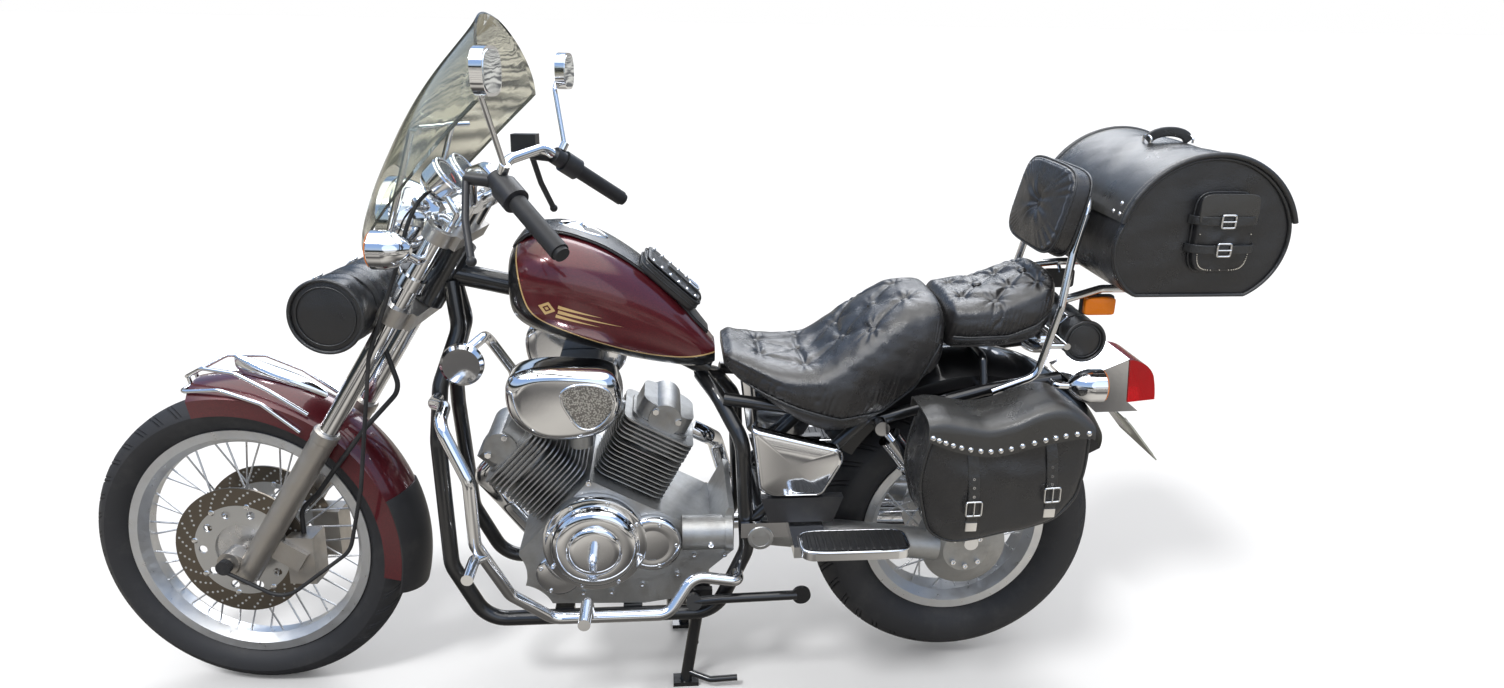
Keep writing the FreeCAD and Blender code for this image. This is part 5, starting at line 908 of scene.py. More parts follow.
def bag_lid():
    """A sheet from the hinge over the bag's top and down its face to a wavy low edge."""
    top, low = through(LID_TOP, LID_ROWS), through(LID_LOW, LID_ROWS)
    low_z = np.interp(-top[:, 0], -low[:, 0], low[:, 1])
    over = through([(0.1975, -0.020), (0.1985, -0.008), (0.206, -0.001), (0.24, 0.001),
                    (0.285, 0.001), (0.315, 0), (0.330, -0.005), (0.3345, -0.014),
                    (LID_FACE, -0.024)], 50)
    y = np.broadcast_to(over[:, 0], (LID_ROWS, 50))
    z = top[:, 1][:, None] + over[None, :, 1]
    fall = np.linspace(0, 1, 26)[1:]
    face_z = z[:, -1:] + (low_z[:, None] - z[:, -1:]) * fall
    face_y = LID_FACE + 0.0012 * np.sin(top[:, 0] * 60)[:, None] * fall
    grid = np.stack([np.broadcast_to(top[:, :1], (LID_ROWS, 75)), np.hstack([y, face_y]),
                     np.hstack([z, face_z])], -1)
    flat_top = step(grid[..., 2] - low_z[:, None], 0.0, 0.04) * (np.arange(75) < 46)
    grid[..., 2] += 0.0016 * waves(grid, 0.10, 3) * flat_top
    low_edge = np.stack([top[:, 0], face_y[:, -1], low_z], -1)
    studs = np.linspace(0.035, 0.965, LID_STUDS)
    stud_line = low_edge + (0, LID_THICK + 0.0002, 0.011)
    spots = sampled(stud_line, np.linspace(0, 1, LID_ROWS), studs)
    for side, sign in SIDES:
        hinge, flip = f"{side}_bag_lid", (1, sign, 1)
        # the lid's lighter leather colour is painted sheen
        lid = slab(f"bag_lid_{side}", grid * flip, LID_THICK * sign, LID_LEATHER_PAINTED_SHEEN, hinge, 60)
        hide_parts(f"saddlebag_{side}_lid")
        stamp(f"bag_lid_studs_{side}", spots * flip, np.tile([0, sign, 0], (LID_STUDS, 1)),
              LID_STUD, STUD_CHROME, hinge, 12)
        hem = low_edge + (0, 0.0008, 0.0015)
        carry(f"bag_lid_hem_{side}", hem * flip, circle(0.0022), (0, 1, 0), LEATHER_EDGE, hinge)


bag_lid()
print("bag lids made")

# %% [markdown]
# A strap is a flat band with softened edges. Its buckle is a square chrome frame with a pin, and a
# chrome tip finishes its end. All three follow the same path down the bag's face.

# %% Straps and buckles
STRAPS = {
    "front": [(-577, 662, 327), (-581, 630, 333), (-584, 590, 338.5), (-586, 545, 338.5),
              (-586, 505, 334)],
    "rear": [(-724, 684, 327), (-729, 655, 333), (-733, 610, 337.5), (-736, 570, 337.5),
             (-737, 530, 333)],
}


BUCKLE_WIRE = 0.0020


def buckle(name, middle, down, out, wide, tall, body):
    """A rectangular frame of round wire with a pin across it, square to out."""
    down, out = unit(np.asarray(down, float)), unit(np.asarray(out, float))
    side = np.cross(out, down)
    ring = rounded_box(wide, tall, 48, 9)
    frame_path = middle + ring[:, :1] * side + ring[:, 1:] * down + out * 0.0035
    carry(f"{name}_frame", frame_path, circle(BUCKLE_WIRE, 8), out, STUD_CHROME, body, closed=True)
    pin = np.linspace(-tall / 2, tall / 2, 6)[:, None] * down + middle + out * 0.0055
    carry(f"{name}_pin", pin, circle(BUCKLE_WIRE * 0.75, 8), side, STUD_CHROME, body)


def bag_strap(name, places, sign):
    """One strap with its buckle and tip on one side of the bike."""
    path = through(np.array(places)[:, [0, 2, 1]] / 1000, 60) * (1, sign, 1)
    out = np.array([0, sign, 0])
    carry(f"{name}_band", path, strip(0.021, 0.0034), out, LEATHER_EDGE, "chassis")
    spot = path[44] + out * 0.001
    buckle(f"{name}_buckle", spot, path[48] - path[40], out, 0.030, 0.030, "chassis")
    tip = np.linspace(path[56], path[59] + (0, 0, -0.010), 6)
    carry(f"{name}_tip", tip, strip(0.023, 0.0056), out, STUD_CHROME, "chassis")
    holes = path[[24, 30, 36]] + out * 0.0012
    eyelet = [(0.0028, -0.0005), (0.0028, 0.0009), (0.0014, 0.0009), (0.0012, 0.0002)]
    stamp(f"{name}_eyelets", holes, np.tile(out, (3, 1)), eyelet, STUD_CHROME, "chassis", 12)


for strap_name, places in STRAPS.items():
    for side, sign in SIDES:
        bag_strap(f"bag_strap_{strap_name}_{side}", places, sign)
print("straps made")

# %% [markdown]
# ## The trunk bag
# The box has two stiff half-round ends, with leather stretched between them under the seat line.
# The lid is one curved sheet with a rolled rim. Both come from the same side view, so they fit.

# %% Side view of the trunk
TRUNK_FRONT, TRUNK_REAR, TRUNK_LOW, TRUNK_TOP, TRUNK_SEAM = -0.868, -1.200, 0.918, 1.186, 1.062
TRUNK_HALF, TRUNK_LID_HALF, OVER_COUNT = 0.1965, 0.2075, 110
TRUNK_HEART, TRUNK_END_HEART = np.array([-1.034, 1.04]), np.array([-1.034, 1.05])


def arc(first, middle, last, count):
    """Points of the circle's arc through three places."""
    (ax, ay), (bx, by), (cx, cy) = first, middle, last
    scale = 2 * (ax * (by - cy) + bx * (cy - ay) + cx * (ay - by))
    squares = [x * x + y * y for x, y in (first, middle, last)]
    x = (squares[0] * (by - cy) + squares[1] * (cy - ay) + squares[2] * (ay - by)) / scale
    y = (squares[0] * (cx - bx) + squares[1] * (ax - cx) + squares[2] * (bx - ax)) / scale
    turns = np.unwrap([math.atan2(q - y, p - x) for p, q in (first, middle, last)])
    sweep = np.interp(np.linspace(0, 2, count), [0, 1, 2], turns)
    radius = math.hypot(ax - x, ay - y)
    return np.stack([x + radius * np.cos(sweep), y + radius * np.sin(sweep)], -1)


TRUNK_MIDDLE = (TRUNK_FRONT + TRUNK_REAR) / 2 + 0.010
trunk_over = arc((TRUNK_FRONT, TRUNK_SEAM), (TRUNK_MIDDLE, TRUNK_TOP), (TRUNK_REAR, TRUNK_SEAM),
                 OVER_COUNT)
trunk_back = arc((TRUNK_REAR, TRUNK_SEAM), (TRUNK_REAR + 0.018, TRUNK_LOW + 0.046),
                 (TRUNK_REAR + 0.070, TRUNK_LOW), 30)
trunk_nose = arc((TRUNK_FRONT - 0.040, TRUNK_LOW), (TRUNK_FRONT - 0.010, TRUNK_LOW + 0.024),
                 (TRUNK_FRONT, TRUNK_SEAM), 30)
trunk_floor = np.linspace(trunk_back[-1], trunk_nose[0], 30)
trunk_under = np.vstack([trunk_back[:-1], trunk_floor[:-1], trunk_nose])
trunk_ring = np.vstack([trunk_over[:-1], trunk_under[:-1]])


def grown(line, amount):
    """A side view moved outwards by an amount, away from the trunk's middle."""
    along = unit(np.gradient(line, axis=0))
    out = np.stack([along[:, 1], -along[:, 0]], -1)
    out *= np.sign((out * (line - TRUNK_HEART)).sum(-1, keepdims=True))
    return line + out * amount


# %% Trunk box and its ends
rows_y = np.linspace(TRUNK_HALF, -TRUNK_HALF, 70)
tub = side_view(trunk_under[:, None] + np.zeros((70, 1)), rows_y)
sag = np.cos(rows_y / TRUNK_HALF * math.pi / 2)
tub[..., 2] += 0.0012 * waves(tub, 0.12, 5) * sag
tub_piece = slab("trunk_tub", tub, 0.0045, LEATHER, "chassis")
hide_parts("trunk_bag")
end_rows = [(k, 0.195) for k in (0.03, 0.3, 0.6, 0.9, 0.985, 0.996)]
end_rows += [(1, 0.1962), (1, 0.1988), (0.994, 0.2002)]
end_rows += [(k, 0.2004 + 0.004 * (1 - k * k)) for k in np.linspace(0.985, 0.03, 26)]
end_scale, end_y = np.array(end_rows).T
panel = side_view(shrunk(trunk_ring, TRUNK_END_HEART, end_scale), end_y[:, None])
panel[..., 1] += 0.0008 * waves(panel, 0.08, 9) * step(panel[..., 1], 0.2005, 0.203)
ring_path = side_view(shrunk(trunk_ring, TRUNK_END_HEART, [0.975])[0], 0.2035)
for side, sign in SIDES:
    flip = (1, sign, 1)
    end_piece = skin(f"trunk_end_{side}", panel * flip, LEATHER, "chassis")
    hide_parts("trunk_bag")
    carry(f"trunk_piping_{side}", ring_path * flip, circle(0.0034, 12), (0, 1, 0), LEATHER_EDGE,
          "chassis", closed=True)
print("trunk box", tub.shape, "ends", panel.shape)

# %% Trunk lid
lid_profile = grown(trunk_over, 0.0055)
lid_rows = np.linspace(TRUNK_LID_HALF, -TRUNK_LID_HALF, 90)
lid_grid = side_view(lid_profile[:, None] + np.zeros((90, 1)), lid_rows)
middle_of_lid = np.cos(lid_rows / TRUNK_LID_HALF * math.pi / 2)
crown_of_lid = np.sin(np.linspace(0, math.pi, OVER_COUNT))[:, None]
lid_grid[..., 2] += (0.0022 * waves(lid_grid, 0.16, 21) - 0.002) * middle_of_lid * crown_of_lid
# the trunk lid's lighter leather colour is painted sheen
lid_piece = slab("trunk_lid_leather", lid_grid, 0.0045, LID_LEATHER_PAINTED_SHEEN, "trunk_lid")
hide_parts("trunk_bag_lid")
stitch = [(0.0011, -0.0006), (0.0011, 0.0003), (0.0005, 0.0008)]
seam_steps = np.linspace(4, 105, 92)
for side, sign in SIDES:
    y, seam_y = TRUNK_LID_HALF * sign, TRUNK_LID_HALF * sign * 0.93
    carry(f"trunk_lid_rim_{side}", side_view(grown(trunk_over, 0.0045), y), circle(0.0052, 14),
          (0, 1, 0), LEATHER_EDGE, "trunk_lid")
    line = side_view(grown(trunk_over, 0.0052), seam_y)
    places = sampled(line, np.arange(OVER_COUNT), seam_steps)
    outward = places - side_view(TRUNK_HEART, seam_y)
    stamp(f"trunk_lid_stitching_{side}", places, outward, stitch, PALE_THREAD, "trunk_lid", 6)
    low_places = np.array([
        (TRUNK_FRONT + 0.0058, seam_y, 1.078), (TRUNK_FRONT + 0.004, seam_y, 1.098),
        (TRUNK_FRONT + 0.0058, y * 0.80, 1.078), (TRUNK_REAR - 0.0058, seam_y, 1.078)])
    ahead = np.sign(low_places[:, :1] - TRUNK_HEART[0]) * (1, 0, 0) + (0, 0, 0.12)
    stamp(f"trunk_lid_rivets_{side}", low_places, ahead, STUD, STUD_CHROME, "trunk_lid", 12)
grip_line = through([(-0.992, 0, 1.190), (-1.002, 0, 1.200), (-1.022, 0, 1.207),
                     (-1.048, 0, 1.2075), (-1.070, 0, 1.201), (-1.080, 0, 1.189)], 50)
carry("trunk_handle", grip_line, strip(0.020, 0.0075, 0.5), (0, 1, 0.01), LEATHER_EDGE, "trunk_lid")
for name, x in (("front", -0.992), ("rear", -1.080)):
    staple = through([(x, -0.017, 1.187), (x, -0.0155, 1.197), (x, 0, 1.2), (x, 0.0155, 1.197),
                      (x, 0.017, 1.187)], 30)
    carry(f"trunk_handle_staple_{name}", staple, circle(0.0024, 10), (1, 0, 0.01), STUD_CHROME,
          "trunk_lid")
print("trunk lid", lid_grid.shape)

# %% [markdown]
# A flat pocket with a rounded flap sits on each end. Two buckled straps hold the flap, and pale
# thread runs round its edge.

# %% Side pockets
pocket = pillow(rounded_box(0.112, 0.150, 120, 5), 0.020, 0.004, 0.007, 18)
pocket[..., 2] += 0.0012 * waves(pocket, 0.05, 2) * step(pocket[..., 2], 0.012, 0.02)
flap = pillow(rounded_box(0.114, 0.060, 120, 6), 0.0035, 0.0008, 0.0016, 10)
POCKET_MIDDLE = np.array([-1.058, 0.203, 1.046])
thread_ring = rounded_box(0.100, 0.138, 400, 5)[::5]
for side, sign in SIDES:
    local = side_frame(POCKET_MIDDLE, sign)
    skin(f"trunk_pocket_{side}", placed(pocket, *local), LEATHER, "chassis")
    # the flap uses the lid leather, whose lighter base colour is painted sheen
    skin(f"trunk_pocket_flap_{side}", placed(flap + (0, 0.046, 0.0225), *local), LID_LEATHER_PAINTED_SHEEN,
         "chassis")
    stamp(f"trunk_pocket_thread_{side}", placed(raised(thread_ring, 0.0232), *local),
          np.tile(local[3], (80, 1)), stitch, PALE_THREAD, "chassis", 6)
    edge = raised(rounded_box(0.114, 0.152, 160, 5), 0.004)
    carry(f"trunk_pocket_piping_{side}", placed(edge, *local), circle(0.0022), (0, 1, 0),
          LEATHER_EDGE, "chassis", closed=True)
    for name, height in (("upper", 0.026), ("lower", -0.028)):
        band = [(-0.066, height, 0.004), (-0.058, height, 0.020), (-0.04, height, 0.0285),
                (0, height, 0.030), (0.04, height, 0.0285), (0.058, height, 0.020),
                (0.066, height, 0.004)]
        path = placed(through(band, 60), *local)
        carry(f"trunk_pocket_strap_{name}_{side}", path, strip(0.016, 0.003), (0, sign, 0.01),
              LEATHER_EDGE, "chassis")
        spot = placed(np.array([0.004, height, 0.0305]), *local)
        buckle(f"trunk_pocket_buckle_{name}_{side}", spot, (1, 0, 0), (0, sign, 0), 0.024, 0.026,
               "chassis")
print("pockets made")

# %% [markdown]
# ## The tool rolls
# A roll is a tube of stiff leather with a round, piped plug at each end. The big one lies across
# the fork, the small one hangs behind the seats. Two straps hold each of them shut.

# %% Leather rolls
ROLL_SHRINK = 0.985


def leather_roll(name, node, centre, radius, half, body, place):
    """Rings along the roll, which bulges between its straps and has shallow domes as ends."""
    y = np.concatenate([np.full(8, -half), np.linspace(-half, half, 90), np.full(8, half)])
    dome = np.linspace(0.04, 0.97, 8)
    scale = np.concatenate([dome, np.ones(90), dome[::-1]])
    depth = np.concatenate([0.005 * dome**2, np.zeros(90), -0.005 * dome[::-1] ** 2])
    turn = around(96)
    waist = 1 - 0.03 * (np.exp(-((np.abs(y) - half * 0.5) / 0.014) ** 2))
    rings = shrunk(circle(1, 96), 0, radius * ROLL_SHRINK * scale * waist)
    grid = side_view(rings, (y + depth)[:, None])
    body_rows = ((np.arange(106) > 9) & (np.arange(106) < 96))[:, None]
    puff = 0.0016 * waves(grid, 0.06, 13) * body_rows
    grid[..., 0] += puff * np.cos(turn)
    grid[..., 2] += puff * np.sin(turn)
    roll = skin(name, place(grid + centre), LEATHER, body, 45)
    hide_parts(node)
    side_axis = unit(place((0, 1, 0)) - place((0, 0, 0)))
    for side, sign in SIDES:
        for part, reach, y, profile in (
                ("rim", ROLL_SHRINK, half - 0.002, circle(0.0036, 12)),
                ("plug", 0.80, half - 0.0018, circle(0.0016, 8)),
                ("strap", 0.968, half * 0.5, strip(0.024, 0.0034)[:, ::-1])):
            path = place(side_view(circle(radius * reach, 96), sign * y) + centre)
            carry(f"{name}_{part}_{side}", path, profile, side_axis, LEATHER_EDGE, body,
                  closed=True)
        spot = np.array([radius * 0.70, sign * half * 0.5, radius * 0.70]) + centre
        out = unit(place(spot) - place((centre[0], spot[1], centre[2])))
        buckle(f"{name}_buckle_{side}", place(spot), np.cross(out, side_axis), out, 0.032, 0.026,
               body)


leather_roll("tool_roll_front", "front_tool_roll", (0.600, 0, 0.868), 0.070, 0.170, "fork", steered)
leather_roll("tool_roll_rear", "rear_tool_roll", (-0.862, 0, 0.800), 0.042, 0.120, "chassis",
             np.array)
print("rolls made")

# %% [markdown]
# ## Tyres
# Each tyre is turned from one outline: bead, bulging wall, round crown, and the same inside. The
# grooves are slanted, and the grid slants with them, so that every groove edge lies on a grid line
# and stays crisp. A groove fades out before the wall and before the middle of the crown.

# %% Tyres with tread
GROOVE = np.array([(0.0, 0), (0.16, 0), (0.34, 0), (0.50, 0), (0.62, 0), (0.635, 1), (0.71, 1),
                   (0.725, 0), (0.85, 0), (0.862, 0.8), (0.92, 0.8), (0.932, 0)])
WALL_ROWS, CROWN_ROWS, WALL_ARC = 10, 20, 0.060


def tyre_outline(bead, shoulder, crown, wall):
    """Half width and radius round the section: a 60 mm arc for each wall, one arc for the crown."""
    start, end = np.array(bead), np.array(shoulder)
    chord = end - start
    sag = WALL_ARC - math.sqrt(WALL_ARC**2 - (np.linalg.norm(chord) / 2) ** 2)
    share = np.linspace(0, 1, WALL_ROWS)[:, None]
    bulge = start + chord * share + unit(np.array([chord[1],
                                                   -chord[0]])) * sag * 4 * share * (1 - share)
    half, rise = end[0], crown - end[1]
    reach = (rise**2 + half**2) / (2 * rise)
    lean = math.asin(half / reach) * np.linspace(1, 0, CROWN_ROWS)
    tread = np.stack([reach * np.sin(lean), crown - reach + reach * np.cos(lean)], -1)[1:]
    foot = start - np.array([0.0005, 0.010])
    right = np.vstack([foot[None], bulge, tread])
    left = right[-2::-1] * (-1, 1)
    inner = np.array([(start[0] - wall, foot[1]), (start[0] - wall, start[1] + 0.004),
                      (half - wall, end[1] - 0.02), (half - wall * 1.4, end[1]),
                      (half * 0.4, crown - wall * 1.5)])
    return np.vstack([right, left, inner * (-1, 1), inner[::-1]])


def treaded_tyre(name, outline, pitches, depth, lean, body, place, node):
    """The outline turned about the axle, with slanted grooves pressed into its crown."""
    share, deep = np.tile(GROOVE[:, 0], pitches), np.tile(GROOVE[:, 1], pitches)
    pitch = np.repeat(np.arange(pitches), len(GROOVE))
    on_crown = np.zeros(len(outline), dtype=bool)
    on_crown[WALL_ROWS + 1:WALL_ROWS + 2 * CROWN_ROWS - 2] = True
    across = np.where(on_crown, np.abs(outline[:, 0]) / outline[WALL_ROWS, 0], 1)
    angle = (pitch + share)[:, None] * 2 * math.pi / pitches + lean * across**1.5
    fade = step(across, 0.22, 0.30) * (1 - step(across, 0.88, 0.95))
    ring = np.abs(across - 0.13) < 0.03
    radius = outline[:, 1] - depth * (deep[:, None] * fade + 0.8 * ring)
    grid = np.stack([radius * np.cos(angle), np.broadcast_to(outline[:, 0], angle.shape),
                     radius * np.sin(angle)], -1)
    faces = grid_faces(*grid.shape[:2], round_rows=True, round_columns=True)
    tyre = make_mesh(name, place(grid.reshape(-1, 3)), faces, TYRE_RUBBER, body, 28.0)
    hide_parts(node)


FRONT_HUB, REAR_HUB = np.array([0.875, 0, 0.331]), np.array([-0.650, 0, 0.3345])
treaded_tyre("tread_front", tyre_outline((0.0287, 0.259), (0.050, 0.298), 0.331, 0.008), 44, 0.0042,
             0.13, "front_wheel", lambda points: steered(points + FRONT_HUB), "front_tyre")
treaded_tyre("tread_rear", tyre_outline((0.0427, 0.208), (0.070, 0.276), 0.3165, 0.009), 36, 0.0055,
             0.18, "rear_wheel", lambda points: points + REAR_HUB, "rear_tyre")
print("tyres made")

# %% [markdown]
# ## Brake discs
# The drilled holes and the rivets are stamped on both faces of each disc, a hair proud of it.

# %% Disc holes and rivets
def ring_of(middle, radius, count, start):
    """Places evenly round a circle that faces sideways."""
    turn = around(count) + start
    return np.asarray(middle, float) + radius * np.stack([np.cos(turn), 0 * turn, np.sin(turn)], -1)


def wheel_ring(radius, count, side, start):
    """Places round the front hub on a plane beside it, with the bars straight ahead."""
    return ring_of(FRONT_HUB + (0, side, 0), radius, count, start)


HOLE = [(0.0026, -0.0005), (0.0026, 0.0003), (0.0012, 0.00032)]
RIVET = [(0.0062, -0.001), (0.0062, 0.0012), (0.0050, 0.0020), (0.0020, 0.0021)]
DISC_FACES = [(0.0613, 1), (0.0563, -1), (-0.0613, -1), (-0.0563, 1)]
for name, rows, count, start, shape, material, sides in (
        ("disc_holes", (0.111, 0.1185, 0.126, 0.1335), 24, 0.0, HOLE, DISC_HOLE, 6),
        ("disc_rivets", (0.101,), 8, 0.2, RIVET, STUD_CHROME, 12)):
    spots = [wheel_ring(radius, count, side, start + row * 0.065)
             for side, _ in DISC_FACES for row, radius in enumerate(rows)]
    facing = np.repeat([(0, way, 0) for _, way in DISC_FACES], count * len(rows), axis=0)
    stamp(name, steered(np.vstack(spots)), steered_way(facing), shape, material, "front_wheel",
          sides)
print("disc holes", 24 * 16, "rivets", 32)

# %% [markdown]
# ## The tank's leather bib and pouch
# The bib is a strip of leather along the top of the tank, with studs along both edges and a small
# pouch behind the filler cap. The tank's own top is known as a formula, so the bib is that formula
# lifted by the leather's thickness.

# %% Tank top
TANK = np.array([(0.0, 0.55, 852, 965), (0.07, 0.84, 822, 1000), (0.2, 1.0, 800, 1014),
                 (0.4, 0.99, 772, 996), (0.6, 0.84, 748, 948), (0.8, 0.62, 730, 876),
                 (0.94, 0.42, 724, 806), (1.0, 0.3, 732, 774)])
TANK_FRONT, TANK_LONG, TANK_HALF, TANK_ROUNDING = 0.292, 0.404, 0.134, 2.6
TANK_SLOPES = np.gradient(TANK[:, 1:], TANK[:, 0], axis=0)


def tank_section(x):
    """The tank's half width, lowest z and highest z at an x, by cubics between sections."""
    share = np.clip((TANK_FRONT - np.asarray(x, float)) / TANK_LONG, 0, 1)
    span = np.clip(np.searchsorted(TANK[:, 0], share, side="right") - 1, 0, len(TANK) - 2)
    width = (TANK[span + 1, 0] - TANK[span, 0])[..., None]
    t = ((share - TANK[span, 0])[..., None]) / width
    value = cubic_between(t, TANK[span, 1:], TANK[span + 1, 1:], TANK_SLOPES[span] * width,
                          TANK_SLOPES[span + 1] * width)
    return value[..., 0] * TANK_HALF, value[..., 1] / 1000, value[..., 2] / 1000


def tank_top(x, y):
    """Height of the tank's rounded top over a place in plan."""
    half, low, high = tank_section(x)
    tall = (high - low) / 2
    share = np.clip(np.abs(y / half), 0, 0.999)
    return low + tall + tall * (1 - share**TANK_ROUNDING) ** (1 / TANK_ROUNDING)


# %% Bib, studs and pouch
BIB_RISE = 0.0048
BIB_PLAN = np.array([(284, 34), (262, 50), (150, 57), (40, 50), (-70, 37), (-97, 24)]) / 1000
bib_x = np.linspace(0.283, -0.096, 150)
bib_half = np.interp(-bib_x, -BIB_PLAN[:, 0], BIB_PLAN[:, 1])
bib_share = np.linspace(-1, 1, 40)
bib_y = bib_half[:, None] * bib_share
bib_z = tank_top(bib_x[:, None], bib_y) + BIB_RISE
bib = np.stack([np.broadcast_to(bib_x[:, None], bib_y.shape), bib_y, bib_z], -1)
bib_piece = slab("tank_bib_leather", bib, 0.0035, LEATHER, "chassis")
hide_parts("tank_bib")
for side, sign in SIDES:
    hem_y = sign * bib_half
    hem = np.stack([bib_x, hem_y, tank_top(bib_x, hem_y) + BIB_RISE - 0.001], -1)
    carry(f"tank_bib_hem_{side}", hem, circle(0.0021), (0, 1, 0.3 * sign), LEATHER_EDGE, "chassis")
    stud_x = np.linspace(0.270, -0.088, 22)
    stud_y = sign * (np.interp(-stud_x, -BIB_PLAN[:, 0], BIB_PLAN[:, 1]) - 0.008)
    spots = np.stack([stud_x, stud_y, tank_top(stud_x, stud_y) + BIB_RISE], -1)
    lean = (tank_top(stud_x + 0.002, stud_y) - tank_top(stud_x - 0.002, stud_y)) / 0.004
    tip = (tank_top(stud_x, stud_y + 0.002) - tank_top(stud_x, stud_y - 0.002)) / 0.004
    stamp(f"tank_bib_studs_{side}", spots, np.stack([-lean, -tip, np.ones(22)], -1), STUD,
          STUD_CHROME, "chassis", 10)

POUCH_AHEAD, POUCH_UP = tilted(42)
pouch_middle = np.array([-0.060, 0, 0.838]) + POUCH_AHEAD * 0.074 + POUCH_UP * 0.008
pouch_frame = (pouch_middle, POUCH_AHEAD, (0, 1, 0), POUCH_UP)
pouch = pillow(rounded_box(0.144, 0.108, 120, 6), 0.025, 0.004, 0.006, 18)
pouch[..., 2] += 0.0012 * waves(pouch, 0.05, 6) * step(pouch[..., 2], 0.010, 0.02)
pouch_piece = skin("tank_pouch", placed(pouch, *pouch_frame), LEATHER, "chassis")
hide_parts("tank_bib")
cover = pillow(rounded_box(0.136, 0.112, 120, 7), 0.0035, 0.0008, 0.0022, 12)
cover_frame = (placed(np.array([0.002, 0, 0.0285]), *pouch_frame), *pouch_frame[1:])
skin("tank_pouch_flap", placed(cover, *cover_frame), LEATHER, "chassis")
for side, sign in SIDES:
    spots = np.array([(x, sign * 0.049, 0.0045) for x in np.linspace(-0.055, 0.055, 6)])
    stamp(f"tank_pouch_studs_{side}", placed(spots, *cover_frame), np.tile(POUCH_UP, (6, 1)), STUD,
          STUD_CHROME, "chassis", 10)
for name, height in (("upper", 0.024), ("lower", 0.013)):
    edge = raised(rounded_box(0.146, 0.110, 160, 6), height)
    carry(f"tank_pouch_piping_{name}", placed(edge, *pouch_frame), circle(0.0018), POUCH_UP,
          LEATHER_EDGE, "chassis", closed=True)
strap_local = through([(-0.078, 0, 0.004), (-0.076, 0, 0.022), (-0.066, 0, 0.0325),
                       (-0.03, 0, 0.0355), (0.02, 0, 0.0365)], 50)
carry("tank_pouch_strap", placed(strap_local, *pouch_frame), strip(0.018, 0.0032),
      POUCH_UP + POUCH_AHEAD * 0.05, LEATHER_EDGE, "chassis")
buckle("tank_pouch_buckle", placed(np.array([-0.045, 0, 0.036]), *pouch_frame), POUCH_AHEAD,
       POUCH_UP, 0.026, 0.024, "chassis")
print("bib from", bib_x[0], "to", bib_x[-1], "pouch made")

# %% [markdown]
# ## The filler cap
# An oval chrome cap with a raised rim sits on the bib's front, where the tank is nearly level.

# %% Filler cap
CAP_X = 0.150
cap_line = circle(1, 72) * (0.050, 0.032) + (CAP_X, 0)
cap_base = float(tank_top(np.array(CAP_X), np.array(0.0))) + 0.002
cap_scale, cap_rise = np.array([(0.96, -0.004), (1.0, 0.001), (1.0, 0.006), (0.97, 0.009),
                                (0.90, 0.0105), (0.84, 0.0095), (0.80, 0.0085), (0.5, 0.0105),
                                (0.2, 0.0115), (0.04, 0.0116)]).T
cap_slope = (tank_top(cap_line[:, 0], np.zeros(72)) - cap_base) * 0.9
cap_z = cap_base + cap_rise[:, None] + cap_slope
cap_grid = np.concatenate([shrunk(cap_line, (CAP_X, 0), cap_scale), cap_z[..., None]], -1)
skin("filler_cap", cap_grid, CHROME, "chassis", 40)
print("filler cap at", round(cap_base, 4))

# %% [markdown]
# ## The air cleaners
# Each cleaner is a chrome shell: one outline pulled in over a rounded shoulder to a nearly flat
# face. The pebbled plate and its frame lie on that face, so their distance from the middle plane
# is read from the same shoulder curve.

# %% Air cleaner shells
POD_LINE = through(np.array([(293, 747), (255, 777), (165, 780), (89, 763), (77, 689), (125, 641),
                             (225, 635), (285, 677)]) / 1000, 160, closed=True)
POD_MIDDLE, POD_FLAT = np.array([0.185, 0.708]), 0.70
POD_RIM, POD_SHOULDER, POD_DOME = 0.172, 0.0315, 0.0015
pod_angle = np.arctan2(*(POD_LINE - POD_MIDDLE).T[::-1])
pod_reach = np.linalg.norm(POD_LINE - POD_MIDDLE, axis=-1)
pod_order = np.argsort(pod_angle)


def pod_face(flat):
    """How far out the shell is in side view: flat inside, a quarter ellipse at the rim."""
    away = flat - POD_MIDDLE
    angle = np.arctan2(away[..., 1], away[..., 0])
    reach = np.interp(angle, pod_angle[pod_order], pod_reach[pod_order], period=2 * math.pi)
    share = np.clip(np.linalg.norm(away, axis=-1) / reach, 0, 1)
    bend = np.clip((share - POD_FLAT) / (1 - POD_FLAT), 0, 1)
    dome = 1 - np.clip(share / POD_FLAT, 0, 1) ** 2
    return POD_RIM + POD_SHOULDER * np.sqrt(1 - bend**2) + POD_DOME * dome


pod_rows = [(k, 0.1135) for k in np.linspace(0.03, 0.95, 6)]
pod_rows += [(0.99, 0.116), (1, 0.121), (1, 0.150), (1, 0.171)]
pod_scale, pod_y = np.array(pod_rows).T
shoulder = POD_FLAT + (1 - POD_FLAT) * np.cos(np.linspace(0.02, math.pi / 2, 16))
flat = shrunk(POD_LINE, POD_MIDDLE, [*pod_scale, *shoulder, *np.linspace(0.68, 0.03, 14)])
pod_out = np.concatenate([np.broadcast_to(pod_y[:, None], (len(pod_y), 160)),
                          pod_face(flat[len(pod_y):])])
for side, points in both(side_view(flat, pod_out)):
    shell = skin(f"air_cleaner_{side}", points, CHROME, "chassis", 50)
    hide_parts("air_cleaners")
duct = pillow(rounded_box(0.088, 0.058, 60, 8), 0.2268, 0.0, 0.004, 6)
duct_piece = skin("air_box", placed(duct, *side_frame((0.175, -0.1134, 0.687), 1)), BLACK_PLASTIC,
                  "chassis")
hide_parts("air_cleaners")

